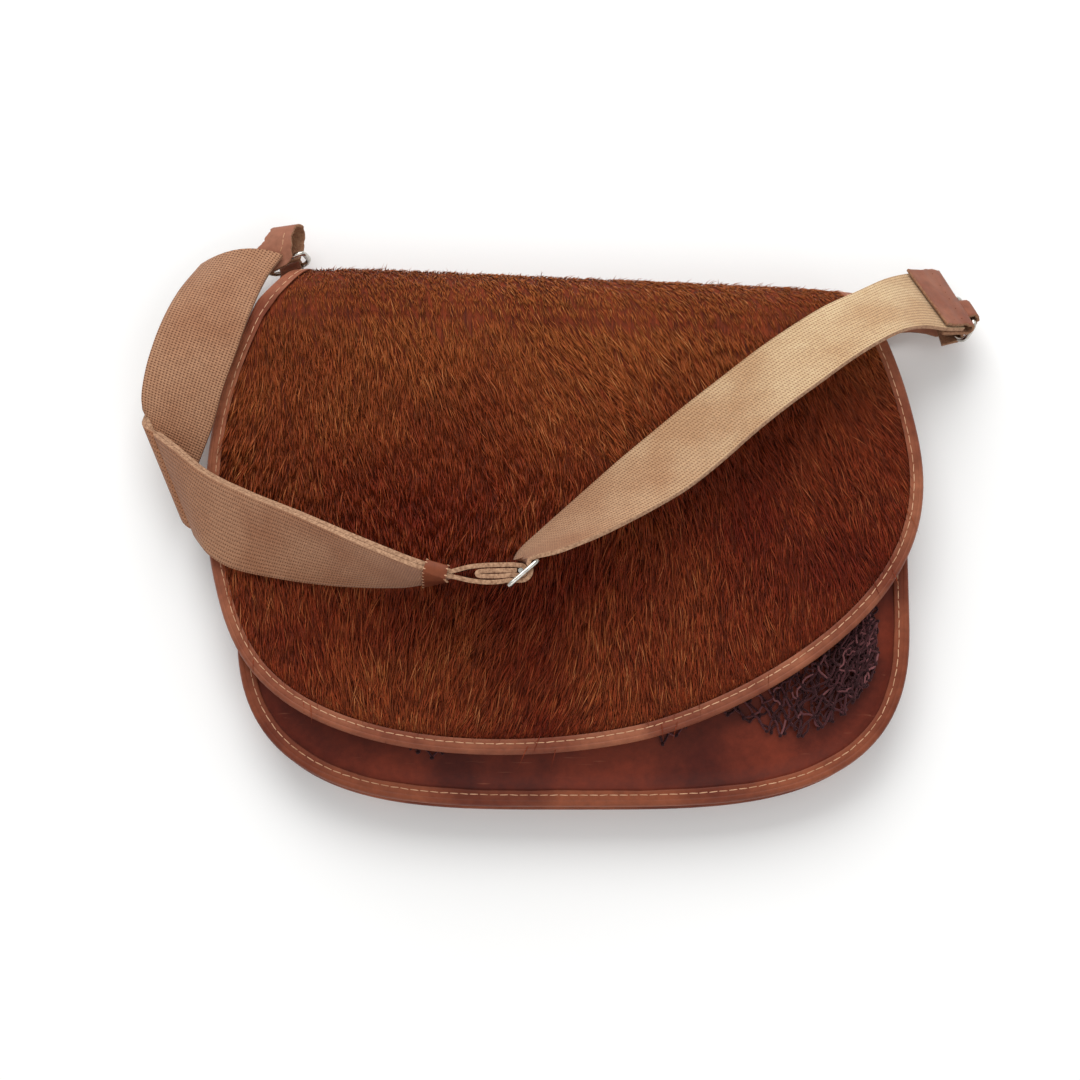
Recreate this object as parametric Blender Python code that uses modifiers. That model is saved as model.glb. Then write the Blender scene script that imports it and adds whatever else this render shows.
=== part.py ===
# Hunting game bag of leather with a hair-on hide flap, lying on its back on a floor.
# +X is the bag's right as seen from its front, +Y its top and +Z up off the floor.
# Sizes below are in millimetres, and the origin is the middle of the back's flat face.

import math

import bmesh
import bpy
from mathutils import Matrix, Vector

MM = 0.001
CLEARANCE = 0.45

# Body outline: straight sides down to the waist, a superellipse below it
BODY_HALF_WIDTH = 192.0
BODY_BOTTOM_Y = -160.0
BODY_WAIST_Y = -50.0
BODY_SIDE_POWER = 3.5
BODY_BOTTOM_POWER = 2.7
SHOULDERS = [(0.0, 192.0), (75.0, 187.5), (150.0, 174.0)]
MOUTH_Y = 100.0
BINDING_TOP_Y = 103.0
BODY_ROUND_STEPS = 30

# Leather walls and the heights at which they lie
PANEL_THICKNESS = 2.0
GUSSET_THICKNESS = 1.6
BINDING_THICKNESS = 1.1
BINDING_WIDTH = 8.6
EDGE_SETBACK = 2.2
LIP_INSET = 10.0
BACK_FLAT_Z = 1.0
BACK_RIM_Z = 2.6
FRONT_RIM_Z = 31.0
FRONT_PUFF = 12.5
GUSSET_FOLD = 17.0

# Flap: a skewed superellipse below the hinge, rolled over the top down to its seam
FLAP_CENTRE = (5.0, 22.0)
FLAP_TURN = math.radians(13.8)
FLAP_LEFT = 217.0
FLAP_RIGHT = 195.0
FLAP_DEPTH = 150.0
FLAP_RISE = 231.0
FLAP_SIDE_POWER = 1.73
FLAP_BOTTOM_POWER = 2.69
HINGE_Y = 122.5
HINGE_SLOPE = -0.046
FLAP_Z = 51.5
SEAM_Z = 3.9
SEAM_FLANGE = 12.0
LEFT_DROOP = 21.0
RIGHT_DROOP = 12.0
ROLL_LEFT_TUCK = 29.0
ROLL_RIGHT_TUCK = 19.0
ROLL_TUCK_ANGLE = 90.0
HIDE_THICKNESS = 3.0
FLAP_BINDING_THICKNESS = 1.0
FLAP_EDGE_SETBACK = 2.7
FLAP_BINDING_STEPS = 4
FLAP_COLUMNS = 38
ROLL_STEPS = 7

# Net between front panel and flap, gathered towards its right end
NET_LEFT = -104.0
NET_RIGHT = 179.0
NET_TOP = 66.0
NET_COLUMNS = 20
NET_ROWS = 10
NET_GATHER = 0.72
NET_CORD = 1.8
NET_LIFT = 3.2
NET_RIPPLE = 0.8

# Web, slider and keeper
WEB_WIDTH = 50.0
UPPER_STEPS = 12
LOWER_STEPS = 22
RIGHT_STEPS = 22
TAIL_START = 8
WEB_THICKNESS = 2.0
LAYER_OFFSET = 1.45
STRAP_LEATHER = 1.8
SLIDER_FOOT = 58.6
SLIDER_WIRE = 1.4
SLIDER_BAR = 1.75
SLIDER_HALF_SPAN = 9.6
SLIDER_BAR_LIFT = 2.9
SLIDER_MIDDLE = (-28.1, -39.2)
SLIDER_ALONG = (0.756, 0.655)
KEEPER_LEATHER = 1.4
RIGHT_LIFT = 2.4
RIGHT_TONGUE_SHIFT = 6.0
RIGHT_TONGUE_REACH = 8.0
RIGHT_TONGUE_HALF_WIDTH = 9.0
RIGHT_LOOP_RADIUS = 3.4

# Rings
RING_WIRE = 1.75
RING_HALF_LENGTH = 12.6
RING_HALF_HEIGHT = 7.75
TAB_HALF_WIDTH = 6.5

# The doubled run of web: each row is a line across the web, its raised edge's x, y, z and
# then its resting edge's. The upper part runs down from the left leather end to the fold.
UPPER_RUN = [
    (-222, 158, 20, -172, 165, 33),
    (-230, 137, 34, -179, 146, 40),
    (-240, 115, 42, -189, 126, 45),
    (-246, 95, 44, -196, 104, 45.5),
    (-248.3, 82, 43.5, -202, 80, 43),
    (-248.6, 73, 41.5, -209, 56, 37.5),
    (-248.5, 69, 39.2, -215, 28, 31.5),
]

# Middle of the diagonal fold, and the radius of the turn
FOLD_LINE = (-248, 65, 42, -220, 4, 30.5)
FOLD_RADIUS = 4.4

# The lower part goes over the flap from the fold to the keeper
LOWER_RUN = [
    (-240, 55, 49.5, -215, -4, 36.5),
    (-229, 43, 56, -211, -13, 38),
    (-206, 24, 66, -206, -21, 40),
    (-183, 10, 72, -195, -28, 43.5),
    (-151, -6, 88, -163, -37, 52.5),
    (-122, -19, 101, -131, -41, 57.5),
    (-92, -30, 107, -96, -39, 58.5),
    (-68, -35.2, 108.5, -69, -36.6, 58.5),
]

# The web's single run from the slider to the right end, in the same columns
RIGHT_RUN = [
    (-13, -27.5, 107, -18, -21, 58),
    (1, -24, 101, -8, -2, 57),
    (26, -10, 98, 15, 15, 57),
    (58, 13, 95, 43, 42, 57),
    (86, 33, 91, 72, 66, 56),
    (120, 55, 89, 104, 90, 56),
    (153, 78, 88, 139, 112, 55),
    (183, 98, 76, 167, 136, 48),
    (198, 108, 64, 182, 146, 36),
    (214, 113, 46, 197, 153, 22),
    (231, 116, 36, 216, 157, 10),
]

# Plan of the upright layers at the slider, as x, y from the keeper on
SEWN_PLAN = [(-59, -32.9), (-45, -31.2), (-36, -32.0)]
RETURN_PLAN = [(-35, -38.4), (-40, -37.9), (-47, -37.8), (-54, -37.8)]
HEM_PLAN = [(-54, -34.6), (-46, -34.5), (-39, -35.2)]
RUNNING_PLAN = [(-59, -41.0), (-50, -43.4), (-42, -43.5), (-37.5, -42.7)]
SLIDER_EXIT_PLAN = [(-24.2, -30.6), (-20.5, -27.4)]

# Leather on the web's left end: left edge x, y, z, then right edge x, y, z
LEFT_END_ROWS = [
    (-176, 159, 19.0, -161, 162, 22.5),
    (-176, 168, 17.5, -160, 170, 21.0),
    (-176, 176, 19.5, -160, 178, 23),
    (-176, 179.5, 24, -160, 181, 27.5),
    (-177, 177, 28, -161, 179, 32),
    (-182, 171, 28, -162, 172, 34),
    (-191, 166, 25.5, -163, 165, 33),
    (-203, 159, 21.5, -165, 158, 30.5),
    (-208, 148, 27, -180, 150, 31),
]

LEATHER_BROWN = (0.28, 0.09, 0.045)
BINDING_BROWN = (0.30, 0.12, 0.07)
HAIR_RUST = (0.16, 0.035, 0.012)
NET_BURGUNDY = (0.10, 0.02, 0.025)
WEB_TAN = (0.48, 0.29, 0.16)
END_LEATHER = (0.42, 0.16, 0.10)
NICKEL = (0.75, 0.74, 0.70)


def clear_scene():
    for item in list(bpy.data.objects):
        bpy.data.objects.remove(item, do_unlink=True)


def principled(name, colour, roughness, metallic=0.0):
    material = bpy.data.materials.new(name)
    material.use_nodes = True
    shader = material.node_tree.nodes["Principled BSDF"]
    shader.inputs["Base Color"].default_value = (*colour, 1.0)
    shader.inputs["Roughness"].default_value = roughness
    shader.inputs["Metallic"].default_value = metallic
    return material


def add_object(name, mesh, material, collection):
    item = bpy.data.objects.new(name, mesh)
    item.data.materials.append(material)
    collection.objects.link(item)
    return item


def smooth_shading(item):
    item.data.shade_smooth()
    item.data.set_sharp_from_angle(angle=math.radians(40))


def blend(a, b, t):
    return a + (b - a) * t


def smooth_rows(rows, count):
    """Rows evenly spaced along a smooth curve through the given rows of numbers."""
    knots = [0.0]
    for before, after in zip(rows, rows[1:]):
        knots.append(knots[-1] + math.dist(before, after))
    slopes = []
    for index in range(len(rows)):
        low, high = max(0, index - 1), min(len(rows) - 1, index + 1)
        span = knots[high] - knots[low]
        slopes.append([(b - a) / span for a, b in zip(rows[low], rows[high])])
    result = []
    piece = 0
    for step in range(count + 1):
        place = knots[-1] * step / count
        while piece < len(rows) - 2 and place > knots[piece + 1]:
            piece += 1
        span = knots[piece + 1] - knots[piece]
        t = (place - knots[piece]) / span
        weights = (2*t**3 - 3*t**2 + 1, (t**3 - 2*t**2 + t) * span,
                   -2*t**3 + 3*t**2, (t**3 - t**2) * span)
        sources = (rows[piece], slopes[piece], rows[piece + 1], slopes[piece + 1])
        result.append([sum(w * source[k] for w, source in zip(weights, sources))
                       for k in range(len(rows[0]))])
    return result


def evenly_spaced(points, count):
    """Places along a finely drawn flat outline, each with the direction pointing inwards."""
    lengths = [0.0]
    for before, after in zip(points, points[1:]):
        lengths.append(lengths[-1] + math.dist(before, after))
    result = []
    piece = 0
    for step in range(count + 1):
        place = lengths[-1] * step / count
        while piece < len(points) - 2 and place > lengths[piece + 1]:
            piece += 1
        t = (place - lengths[piece]) / (lengths[piece + 1] - lengths[piece])
        start, end = Vector(points[piece]), Vector(points[piece + 1])
        before = Vector(points[max(0, piece - 2)])
        after = Vector(points[min(len(points) - 1, piece + 3)])
        tangent = (after - before).normalized()
        result.append((start.lerp(end, t), Vector((-tangent.y, tangent.x))))
    return result


def add_patch(mesh, sections):
    """A grid of faces bent through rows of points given in millimetres."""
    columns, rows = len(sections[0]) - 1, len(sections) - 1
    made = bmesh.ops.create_grid(mesh, x_segments=columns, y_segments=rows, size=1.0)
    for vertex in made["verts"]:
        column = round((vertex.co.x + 1) / 2 * columns)
        row = round((vertex.co.y + 1) / 2 * rows)
        vertex.co = Vector(sections[row][column]) * MM


def sheet(name, patches, thickness, material, collection):
    """A sheet of bent patches that share edges, given its thickness evenly to both sides."""
    mesh = bmesh.new()
    for sections in patches:
        add_patch(mesh, sections)
    bmesh.ops.remove_doubles(mesh, verts=mesh.verts, dist=1e-6)
    bmesh.ops.dissolve_degenerate(mesh, dist=1e-6, edges=mesh.edges)
    bmesh.ops.recalc_face_normals(mesh, faces=mesh.faces)
    data = bpy.data.meshes.new(name)
    mesh.to_mesh(data)
    mesh.free()
    item = add_object(name, data, material, collection)
    wall = item.modifiers.new("Wall", "SOLIDIFY")
    wall.thickness = thickness * MM
    wall.offset = 0.0
    wall.use_even_offset = True
    smooth_shading(item)
    return item


# Body

def body_half_width(y):
    width = BODY_HALF_WIDTH
    for (low, wide), (high, narrow) in zip(SHOULDERS, SHOULDERS[1:]):
        if y > low:
            width = blend(wide, narrow, min(1.0, (y - low) / (high - low)))
    return width


def body_round():
    """Outline below the waist line, from the left side round the bottom to the right."""
    depth = BODY_WAIST_Y - BODY_BOTTOM_Y
    steps = 240
    half = []
    for step in range(steps + 1):
        angle = math.pi / 2 * step / steps
        x = BODY_HALF_WIDTH * math.cos(angle) ** (2 / BODY_SIDE_POWER)
        y = BODY_WAIST_Y - depth * math.sin(angle) ** (2 / BODY_BOTTOM_POWER)
        half.append((x, y))
    return [(-x, y) for x, y in half] + [(x, y) for x, y in reversed(half[:-1])]


def body_rim(top):
    """Places on the rim from the left top round to the right top, with inward directions."""
    levels = [top] + [y for y, _ in reversed(SHOULDERS) if y < top]
    side = [(Vector((body_half_width(y), y)), Vector((-1.0, 0.0))) for y in levels]
    mirrored = [(Vector((-p.x, p.y)), Vector((-n.x, n.y))) for p, n in side]
    return mirrored + evenly_spaced(body_round(), BODY_ROUND_STEPS) + list(reversed(side))


def inset_point(station, inset):
    place, inwards = station
    return place + inwards * inset


def body_depth_ratio(x, y):
    """0 in the middle of the front and 1 at its rim."""
    across = abs(x) / body_half_width(y)
    below = max(0.0, BODY_WAIST_Y - y) / (BODY_WAIST_Y - BODY_BOTTOM_Y)
    return min(1.0, (across ** BODY_SIDE_POWER + below ** BODY_BOTTOM_POWER) ** (1 / 3))


def front_height(x, y):
    ratio = body_depth_ratio(x, y)
    return FRONT_RIM_Z + FRONT_PUFF * (1 - ratio * ratio)


def hinge_line(x):
    return HINGE_Y + HINGE_SLOPE * x


def fill_to_line(rim, inset, y, shares):
    """Rows from the inset rim to a straight line across at y."""
    last = len(rim) - 1
    corner = rim[-1][0].x - inset
    rows = []
    for share in shares:
        row = []
        for index, station in enumerate(rim):
            start = inset_point(station, inset)
            x = blend(start.x, blend(-corner, corner, index / last), share)
            row.append((x, blend(start.y, y, share)))
        rows.append(row)
    return rows


def make_back_panel(material, collection):
    top = HINGE_Y + 5
    rim = body_rim(top)
    flat_inset = 16.0
    sections = []
    for inset, z in ((EDGE_SETBACK, BACK_RIM_Z), (LIP_INSET, BACK_RIM_Z),
                     (flat_inset, BACK_FLAT_Z)):
        points = [inset_point(station, inset) for station in rim]
        sections.append([(p.x, p.y, z) for p in points])
    for row in fill_to_line(rim, flat_inset, top, (0.5, 1.0)):
        sections.append([(x, y, BACK_FLAT_Z) for x, y in row])
    return sheet("back_panel", [sections], PANEL_THICKNESS, material, collection)


def make_front_panel(material, collection):
    rim = body_rim(MOUTH_Y)
    sections = []
    for inset in (EDGE_SETBACK, LIP_INSET):
        points = [inset_point(station, inset) for station in rim]
        sections.append([(p.x, p.y, FRONT_RIM_Z) for p in points])
    for row in fill_to_line(rim, LIP_INSET, MOUTH_Y, (0.12, 0.35, 0.66, 1.0)):
        sections.append([(x, y, front_height(x, y)) for x, y in row])
    return sheet("front_panel", [sections], PANEL_THICKNESS, material, collection)


def make_gusset(material, collection):
    spacing = PANEL_THICKNESS / 2 + CLEARANCE + GUSSET_THICKNESS / 2
    low, high = BACK_RIM_Z + spacing, FRONT_RIM_Z - spacing
    profile = [(EDGE_SETBACK, low), (LIP_INSET - 0.6, low), (GUSSET_FOLD, (low + high) / 2),
               (LIP_INSET - 0.6, high), (EDGE_SETBACK, high)]
    sections = []
    for station in body_rim(MOUTH_Y):
        points = [(inset_point(station, inset), z) for inset, z in profile]
        sections.append([(p.x, p.y, z) for p, z in points])
    return sheet("gusset", [sections], GUSSET_THICKNESS, material, collection)


def make_body_binding(name, low, high, material, collection):
    """A strip folded round the edges of a panel and the gusset between two heights."""
    half = BINDING_THICKNESS / 2
    under, over = low - CLEARANCE - half, high + CLEARANCE + half
    profile = [(BINDING_WIDTH, over), (1.3, over), (half, (under + over) / 2),
               (1.3, under), (BINDING_WIDTH - 1, under)]
    sections = []
    for station in body_rim(BINDING_TOP_Y):
        points = [(inset_point(station, inset), z) for inset, z in profile]
        sections.append([(p.x, p.y, z) for p, z in points])
    return sheet(name, [sections], BINDING_THICKNESS, material, collection)


# Flap

def flap_height(x):
    left = max(0.0, (-x - 115) / 96)
    right = max(0.0, (x - 120) / 80)
    return FLAP_Z - LEFT_DROOP * left * left - RIGHT_DROOP * right * right


def flap_spread(x):
    """How much further up a place lifted off the sloping side of the flap lies."""
    slope = (flap_height(x + 1) - flap_height(x - 1)) / 2
    return math.sqrt(1 + slope * slope)


def flap_flat(x, below, lift=0.0):
    """A place on the flap's front, below the hinge line by a distance."""
    return (x, hinge_line(x) - below, flap_height(x) + lift * flap_spread(x))


def flap_roll(x, angle, lift=0.0):
    """A place on the roll over the bag's top, by the angle turned from the front."""
    radius = (flap_height(x) - SEAM_Z) / 2
    reach = radius + lift * flap_spread(x)
    turn = math.radians(angle)
    return (x, hinge_line(x) + reach * math.sin(turn), SEAM_Z + radius + reach * math.cos(turn))


def flap_outline():
    """The free edge from hinge line to hinge line, as x and the height above the line."""
    steps = 1440
    points = []
    for step in range(steps + 1):
        angle = math.pi / 2 + 2 * math.pi * step / steps
        cosine, sine = math.cos(angle), math.sin(angle)
        across = FLAP_LEFT if cosine < 0 else FLAP_RIGHT
        rise, power = (FLAP_DEPTH, FLAP_BOTTOM_POWER) if sine < 0 else (FLAP_RISE, 2.0)
        u = math.copysign(across * abs(cosine) ** (2 / FLAP_SIDE_POWER), cosine)
        v = math.copysign(rise * abs(sine) ** (2 / power), sine)
        x = FLAP_CENTRE[0] + u * math.cos(FLAP_TURN) - v * math.sin(FLAP_TURN)
        y = FLAP_CENTRE[1] + u * math.sin(FLAP_TURN) + v * math.cos(FLAP_TURN)
        if y < hinge_line(x):
            points.append((x, y - hinge_line(x)))
    points[0] = (points[0][0], 0.0)
    points[-1] = (points[-1][0], 0.0)
    return points


def flap_row(stations, inset):
    """The free edge moved inwards, its two ends kept on the hinge line."""
    row = [inset_point(station, inset) for station in stations]
    row[0] = Vector((stations[0][0].x + hinge_inset(inset), 0.0))
    row[-1] = Vector((stations[-1][0].x - hinge_inset(inset), 0.0))
    return row


def hinge_inset(inset):
    """The edge meets the hinge line aslant, so a band of it is wider along that line."""
    return inset * 1.35


def roll_side(corner, tuck, angle):
    return corner + tuck * (1 - math.exp(-1.4 * angle / ROLL_TUCK_ANGLE))


def roll_columns(left, right, angle):
    """x at each column across the roll, its bound edges first and last."""
    a = roll_side(left, ROLL_LEFT_TUCK, angle)
    b = roll_side(right, -ROLL_RIGHT_TUCK, angle)
    edge, lip = hinge_inset(FLAP_EDGE_SETBACK), hinge_inset(LIP_INSET)
    inner = [blend(a + lip, b - lip, index / FLAP_COLUMNS) for index in range(FLAP_COLUMNS + 1)]
    return [a + edge] + inner + [b - edge]


def make_flap_hide(material, collection):
    stations = evenly_spaced(flap_outline(), FLAP_COLUMNS)
    front = []
    for inset in (FLAP_EDGE_SETBACK, LIP_INSET):
        row = flap_row(stations, inset)
        front.append([flap_flat(point.x, -point.y) for point in row])
    inner = flap_row(stations, LIP_INSET)
    for share in (0.3, 0.65, 1.0):
        row = []
        for index, point in enumerate(inner):
            target = blend(inner[0].x, inner[-1].x, index / FLAP_COLUMNS)
            row.append(flap_flat(blend(point.x, target, share), blend(-point.y, 0.0, share)))
        front.append(row)
    left, right = stations[0][0].x, stations[-1][0].x
    roll = []
    for step in range(ROLL_STEPS + 1):
        angle = 180 * step / ROLL_STEPS
        roll.append([flap_roll(x, angle) for x in roll_columns(left, right, angle)])
    roll.append([(x, hinge_line(x) - SEAM_FLANGE, SEAM_Z)
                 for x in roll_columns(left, right, 180)])
    return sheet("flap_hide", [front, roll], HIDE_THICKNESS, material, collection)


def make_flap_binding(material, collection):
    half = FLAP_BINDING_THICKNESS / 2
    lift = HIDE_THICKNESS / 2 + CLEARANCE + half
    profile = [(BINDING_WIDTH, lift), (1.4, lift), (half, 0.0), (1.4, -lift),
               (BINDING_WIDTH - 1, -lift)]
    stations = evenly_spaced(flap_outline(), FLAP_COLUMNS)
    left, right = stations[0][0].x, stations[-1][0].x
    ends = []
    for corner, tuck, inwards in ((left, ROLL_LEFT_TUCK, 1), (right, -ROLL_RIGHT_TUCK, -1)):
        end = []
        for step in range(1, FLAP_BINDING_STEPS + 1):
            angle = 180 * step / ROLL_STEPS
            x = roll_side(corner, tuck, angle)
            end.append([flap_roll(x + inwards * hinge_inset(inset), angle, rise)
                        for inset, rise in profile])
        ends.append(end)
    rows = [flap_row(stations, inset) for inset, _ in profile]
    middle = []
    for index in range(FLAP_COLUMNS + 1):
        middle.append([flap_flat(row[index].x, -row[index].y, rise)
                       for row, (_, rise) in zip(rows, profile)])
    sections = list(reversed(ends[0])) + middle + ends[1]
    return sheet("flap_binding", [sections], FLAP_BINDING_THICKNESS, material, collection)


# Net

def net_lower_edge(x):
    """The net hangs lower at three places, where it looks out from under the flap."""
    peek_left = 23 * math.exp(-((x + 80) / 26) ** 2)
    peek_middle = 18 * math.exp(-((x - 52) / 10) ** 2)
    bunch = 13 * math.exp(-((x - 122) / 24) ** 2)
    right_rise = 45 * max(0.0, (x - 140) / 38) ** 2
    return -108 - peek_left - peek_middle - bunch + right_rise


def make_net(material, collection):
    mesh = bmesh.new()
    reach = (NET_COLUMNS + NET_ROWS) / 2
    cells = round(reach)
    turn = Matrix.Rotation(math.radians(45), 4, "Z")
    bmesh.ops.create_grid(mesh, x_segments=cells, y_segments=cells,
                          size=cells / math.sqrt(2), matrix=turn)
    outside = []
    for face in mesh.faces:
        centre = face.calc_center_median()
        if abs(centre.x) > NET_COLUMNS / 2 or abs(centre.y) > NET_ROWS / 2:
            outside.append(face)
    bmesh.ops.delete(mesh, geom=outside, context="FACES")
    for vertex in mesh.verts:
        along = min(1.0, max(0.0, vertex.co.x / (NET_COLUMNS + 2) + 0.5))
        up = min(1.0, max(0.0, vertex.co.y / (NET_ROWS + 2) + 0.5))
        gathered = blend(along, 1 - (1 - along) ** 2, NET_GATHER)
        x = blend(NET_LEFT, NET_RIGHT, gathered)
        y = blend(net_lower_edge(x), NET_TOP, up)
        ripple = NET_RIPPLE * math.sin(x / 9) * math.cos(y / 13)
        vertex.co = Vector((x, y, front_height(x, y) + NET_LIFT + ripple)) * MM
    data = bpy.data.meshes.new("net")
    mesh.to_mesh(data)
    mesh.free()
    item = add_object("net", data, material, collection)
    cords = item.modifiers.new("Cords", "WIREFRAME")
    cords.thickness = NET_CORD * MM
    cords.use_boundary = True
    cords.use_replace = True
    cords.use_even_offset = True
    cords.use_relative_offset = False
    return item


# Web

def row_ends(row):
    return Vector(row[:3]), Vector(row[3:])


def web_frames(rows):
    """For each row its raised and resting edges, direction across and a normal at each edge."""
    frames = []
    for index, row in enumerate(rows):
        raised, resting = row_ends(row)
        before_raised, before_resting = row_ends(rows[max(0, index - 1)])
        after_raised, after_resting = row_ends(rows[min(len(rows) - 1, index + 1)])
        raised_step = (after_raised - before_raised).normalized()
        resting_step = (after_resting - before_resting).normalized()
        across = (raised - resting).normalized()
        normals = []
        for own, other in ((raised_step, resting_step), (resting_step, raised_step)):
            normals.append((own + other * 0.4).cross(across).normalized())
        frames.append((raised, resting, across, normals[0], normals[1]))
    return frames


def offset_rows(rows, offset):
    """Rows of points across the web, moved to one side of it."""
    result = []
    for raised, resting, _, raised_normal, resting_normal in web_frames(rows):
        a = resting + resting_normal * offset
        b = raised + raised_normal * offset
        result.append((a, (a + b) / 2, b))
    return result


def upright_rows(plan):
    rows = []
    for x, y in plan:
        foot = Vector((x, y, SLIDER_FOOT))
        rows.append((foot, foot + Vector((0, 0, WEB_WIDTH / 2)), foot + Vector((0, 0, WEB_WIDTH))))
    return rows


def smooth_plan(points, count):
    return [(x, y) for x, y in smooth_rows(points, count)]


def slider_plan(along, lift):
    """A plan position from the slider's own axes, lift being towards the bag's top left."""
    a = Vector(SLIDER_ALONG)
    b = Vector((-a.y, a.x))
    return Vector(SLIDER_MIDDLE) + a * along + b * lift


def centre_bar():
    return slider_plan(0.0, SLIDER_BAR_LIFT)


def plan_arc(centre, radius, start, end, count):
    result = []
    for step in range(count + 1):
        angle = math.radians(blend(start, end, step / count))
        result.append((centre.x + radius * math.cos(angle), centre.y + radius * math.sin(angle)))
    return result


def fold_rows(count):
    raised, resting = row_ends(FOLD_LINE)
    outwards = Vector((resting.y - raised.y, raised.x - resting.x, 0.0)).normalized()
    up = Vector((0.0, 0.0, 1.0))
    rows = []
    for step in range(count + 1):
        angle = math.radians(blend(-90, 90, step / count))
        shift = (outwards * math.cos(angle) + up * math.sin(angle)) * FOLD_RADIUS
        rows.append([*(raised + shift), *(resting + shift)])
    return rows


def doubled_rows():
    fold = fold_rows(6)
    upper = smooth_rows(UPPER_RUN + [tuple(fold[0])], UPPER_STEPS)
    lower = smooth_rows([tuple(fold[-1])] + LOWER_RUN, LOWER_STEPS)
    return upper[:-1] + fold + lower[1:]


def make_strap_left(material, collection):
    """From the left leather end, under the tail, round the slider's centre bar to its hem."""
    run = offset_rows(doubled_rows(), -LAYER_OFFSET)
    wrap = plan_arc(centre_bar(), 3.6, 100, -120, 8)
    fold = [(-56.6, -37.2), (-57.2, -36.2), (-56.6, -35.2)]
    plan = (smooth_plan(SEWN_PLAN, 4) + wrap + smooth_plan(RETURN_PLAN, 3) + fold
            + smooth_plan(HEM_PLAN, 2))
    return sheet("strap_left", [run + upright_rows(plan)], WEB_THICKNESS, material, collection)


def make_strap_right(material, collection):
    """From the hidden tail, over the left web, through the slider to the right leather end."""
    tail = offset_rows(doubled_rows(), LAYER_OFFSET)[TAIL_START:]
    turn = math.degrees(math.atan2(SLIDER_ALONG[1], SLIDER_ALONG[0]))
    passing = plan_arc(centre_bar(), 6.5, turn - 180, turn, 8)
    plan = smooth_plan(RUNNING_PLAN, 4) + passing + SLIDER_EXIT_PLAN
    run = []
    for row in smooth_rows(RIGHT_RUN, RIGHT_STEPS):
        raised, resting = row_ends(row)
        run.append((resting, (raised + resting) / 2, raised))
    run[-1] = tuple(a.lerp(b, 0.5) for a, b in zip(run[-2], run[-1]))
    return sheet("strap_right", [tail + upright_rows(plan) + run], WEB_THICKNESS,
                 material, collection)


def make_keeper(material, collection):
    high = LAYER_OFFSET + WEB_THICKNESS / 2 + 0.9 + KEEPER_LEATHER / 2
    sections = []
    for raised, resting, across, over_normal, under_normal in web_frames(doubled_rows())[-3:]:
        over, under = over_normal * high, under_normal * high
        upper, lower = raised + across * 1.2, resting - across * 1.2
        front, back = (upper + over, lower + under), (lower - under, upper - over)
        sections.append([upper + across * 0.6, front[0], (front[0] + front[1]) / 2, front[1],
                         lower - across * 0.6, back[0], (back[0] + back[1]) / 2, back[1],
                         upper + across * 0.6])
    return sheet("keeper", [sections], KEEPER_LEATHER, material, collection)


def make_leather_end_left(material, collection):
    sections = []
    for row in smooth_rows(LEFT_END_ROWS, 14):
        left, right = row_ends(row)
        sections.append([left, left.lerp(right, 0.5), right])
    return sheet("strap_end_left", [sections], STRAP_LEATHER, material, collection)


def right_end_axes():
    raised, resting = row_ends(RIGHT_RUN[-1])
    before_raised, before_resting = row_ends(RIGHT_RUN[-2])
    across = (raised - resting).normalized()
    ahead = raised + resting - before_raised - before_resting
    ahead = (ahead - across * ahead.dot(across)).normalized()
    return raised, resting, across, ahead, across.cross(ahead)


def right_loop_centre():
    raised, resting, across, ahead, normal = right_end_axes()
    middle = (raised + resting) / 2
    lift = RIGHT_LIFT - RIGHT_LOOP_RADIUS
    return middle + across * RIGHT_TONGUE_SHIFT + ahead * RIGHT_TONGUE_REACH + normal * lift


def loop_rows(centre, axis, towards, radius, half_width, start, end, count):
    """Rows of a strip that turns round a bar, from one angle to another in degrees."""
    up = axis.cross(towards).normalized()
    rows = []
    for step in range(count + 1):
        angle = math.radians(blend(start, end, step / count))
        place = centre + towards * radius * math.cos(angle) + up * radius * math.sin(angle)
        rows.append((place - axis * half_width, place, place + axis * half_width))
    return rows


def make_leather_end_right(material, collection):
    raised, resting, across, ahead, normal = right_end_axes()
    lift = normal * RIGHT_LIFT
    rows = []
    for b, a, over, up_b, up_a in web_frames(RIGHT_RUN)[-2:]:
        a = a - over * 0.8 - up_a * (RIGHT_LIFT + 0.5)
        b = b + over * 0.8 - up_b * (RIGHT_LIFT + 0.5)
        rows.append((a, (a + b) / 2, b))
    root = (raised + resting) / 2 + across * RIGHT_TONGUE_SHIFT + lift + ahead * 3
    half = RIGHT_TONGUE_HALF_WIDTH
    rows.append((root - across * (half + 2), root, root + across * (half + 1)))
    centre = right_loop_centre()
    rows += loop_rows(centre, across, ahead, RIGHT_LOOP_RADIUS, half, 90, -110, 8)
    under = centre - ahead * 6.5 - normal * (RIGHT_LOOP_RADIUS - 1.0)
    rows.append(strip_row(under, across, half))
    return sheet("strap_end_right", [rows], STRAP_LEATHER, material, collection)


# Rings and tabs

def ring_axes_left():
    along = Vector((0.94, 0.28, 0.20)).normalized()
    up = Vector((-0.2, 0.1, 0.97))
    up = (up - along * up.dot(along)).normalized()
    return Vector((-168.5, 160.5, 18.4)), along, up


def ring_axes_right():
    _, _, across, _, _ = right_end_axes()
    up = Vector((0.45, 0.45, 0.77))
    up = (up - across * up.dot(across)).normalized()
    return right_loop_centre() - up * RING_HALF_HEIGHT, across, up


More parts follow.
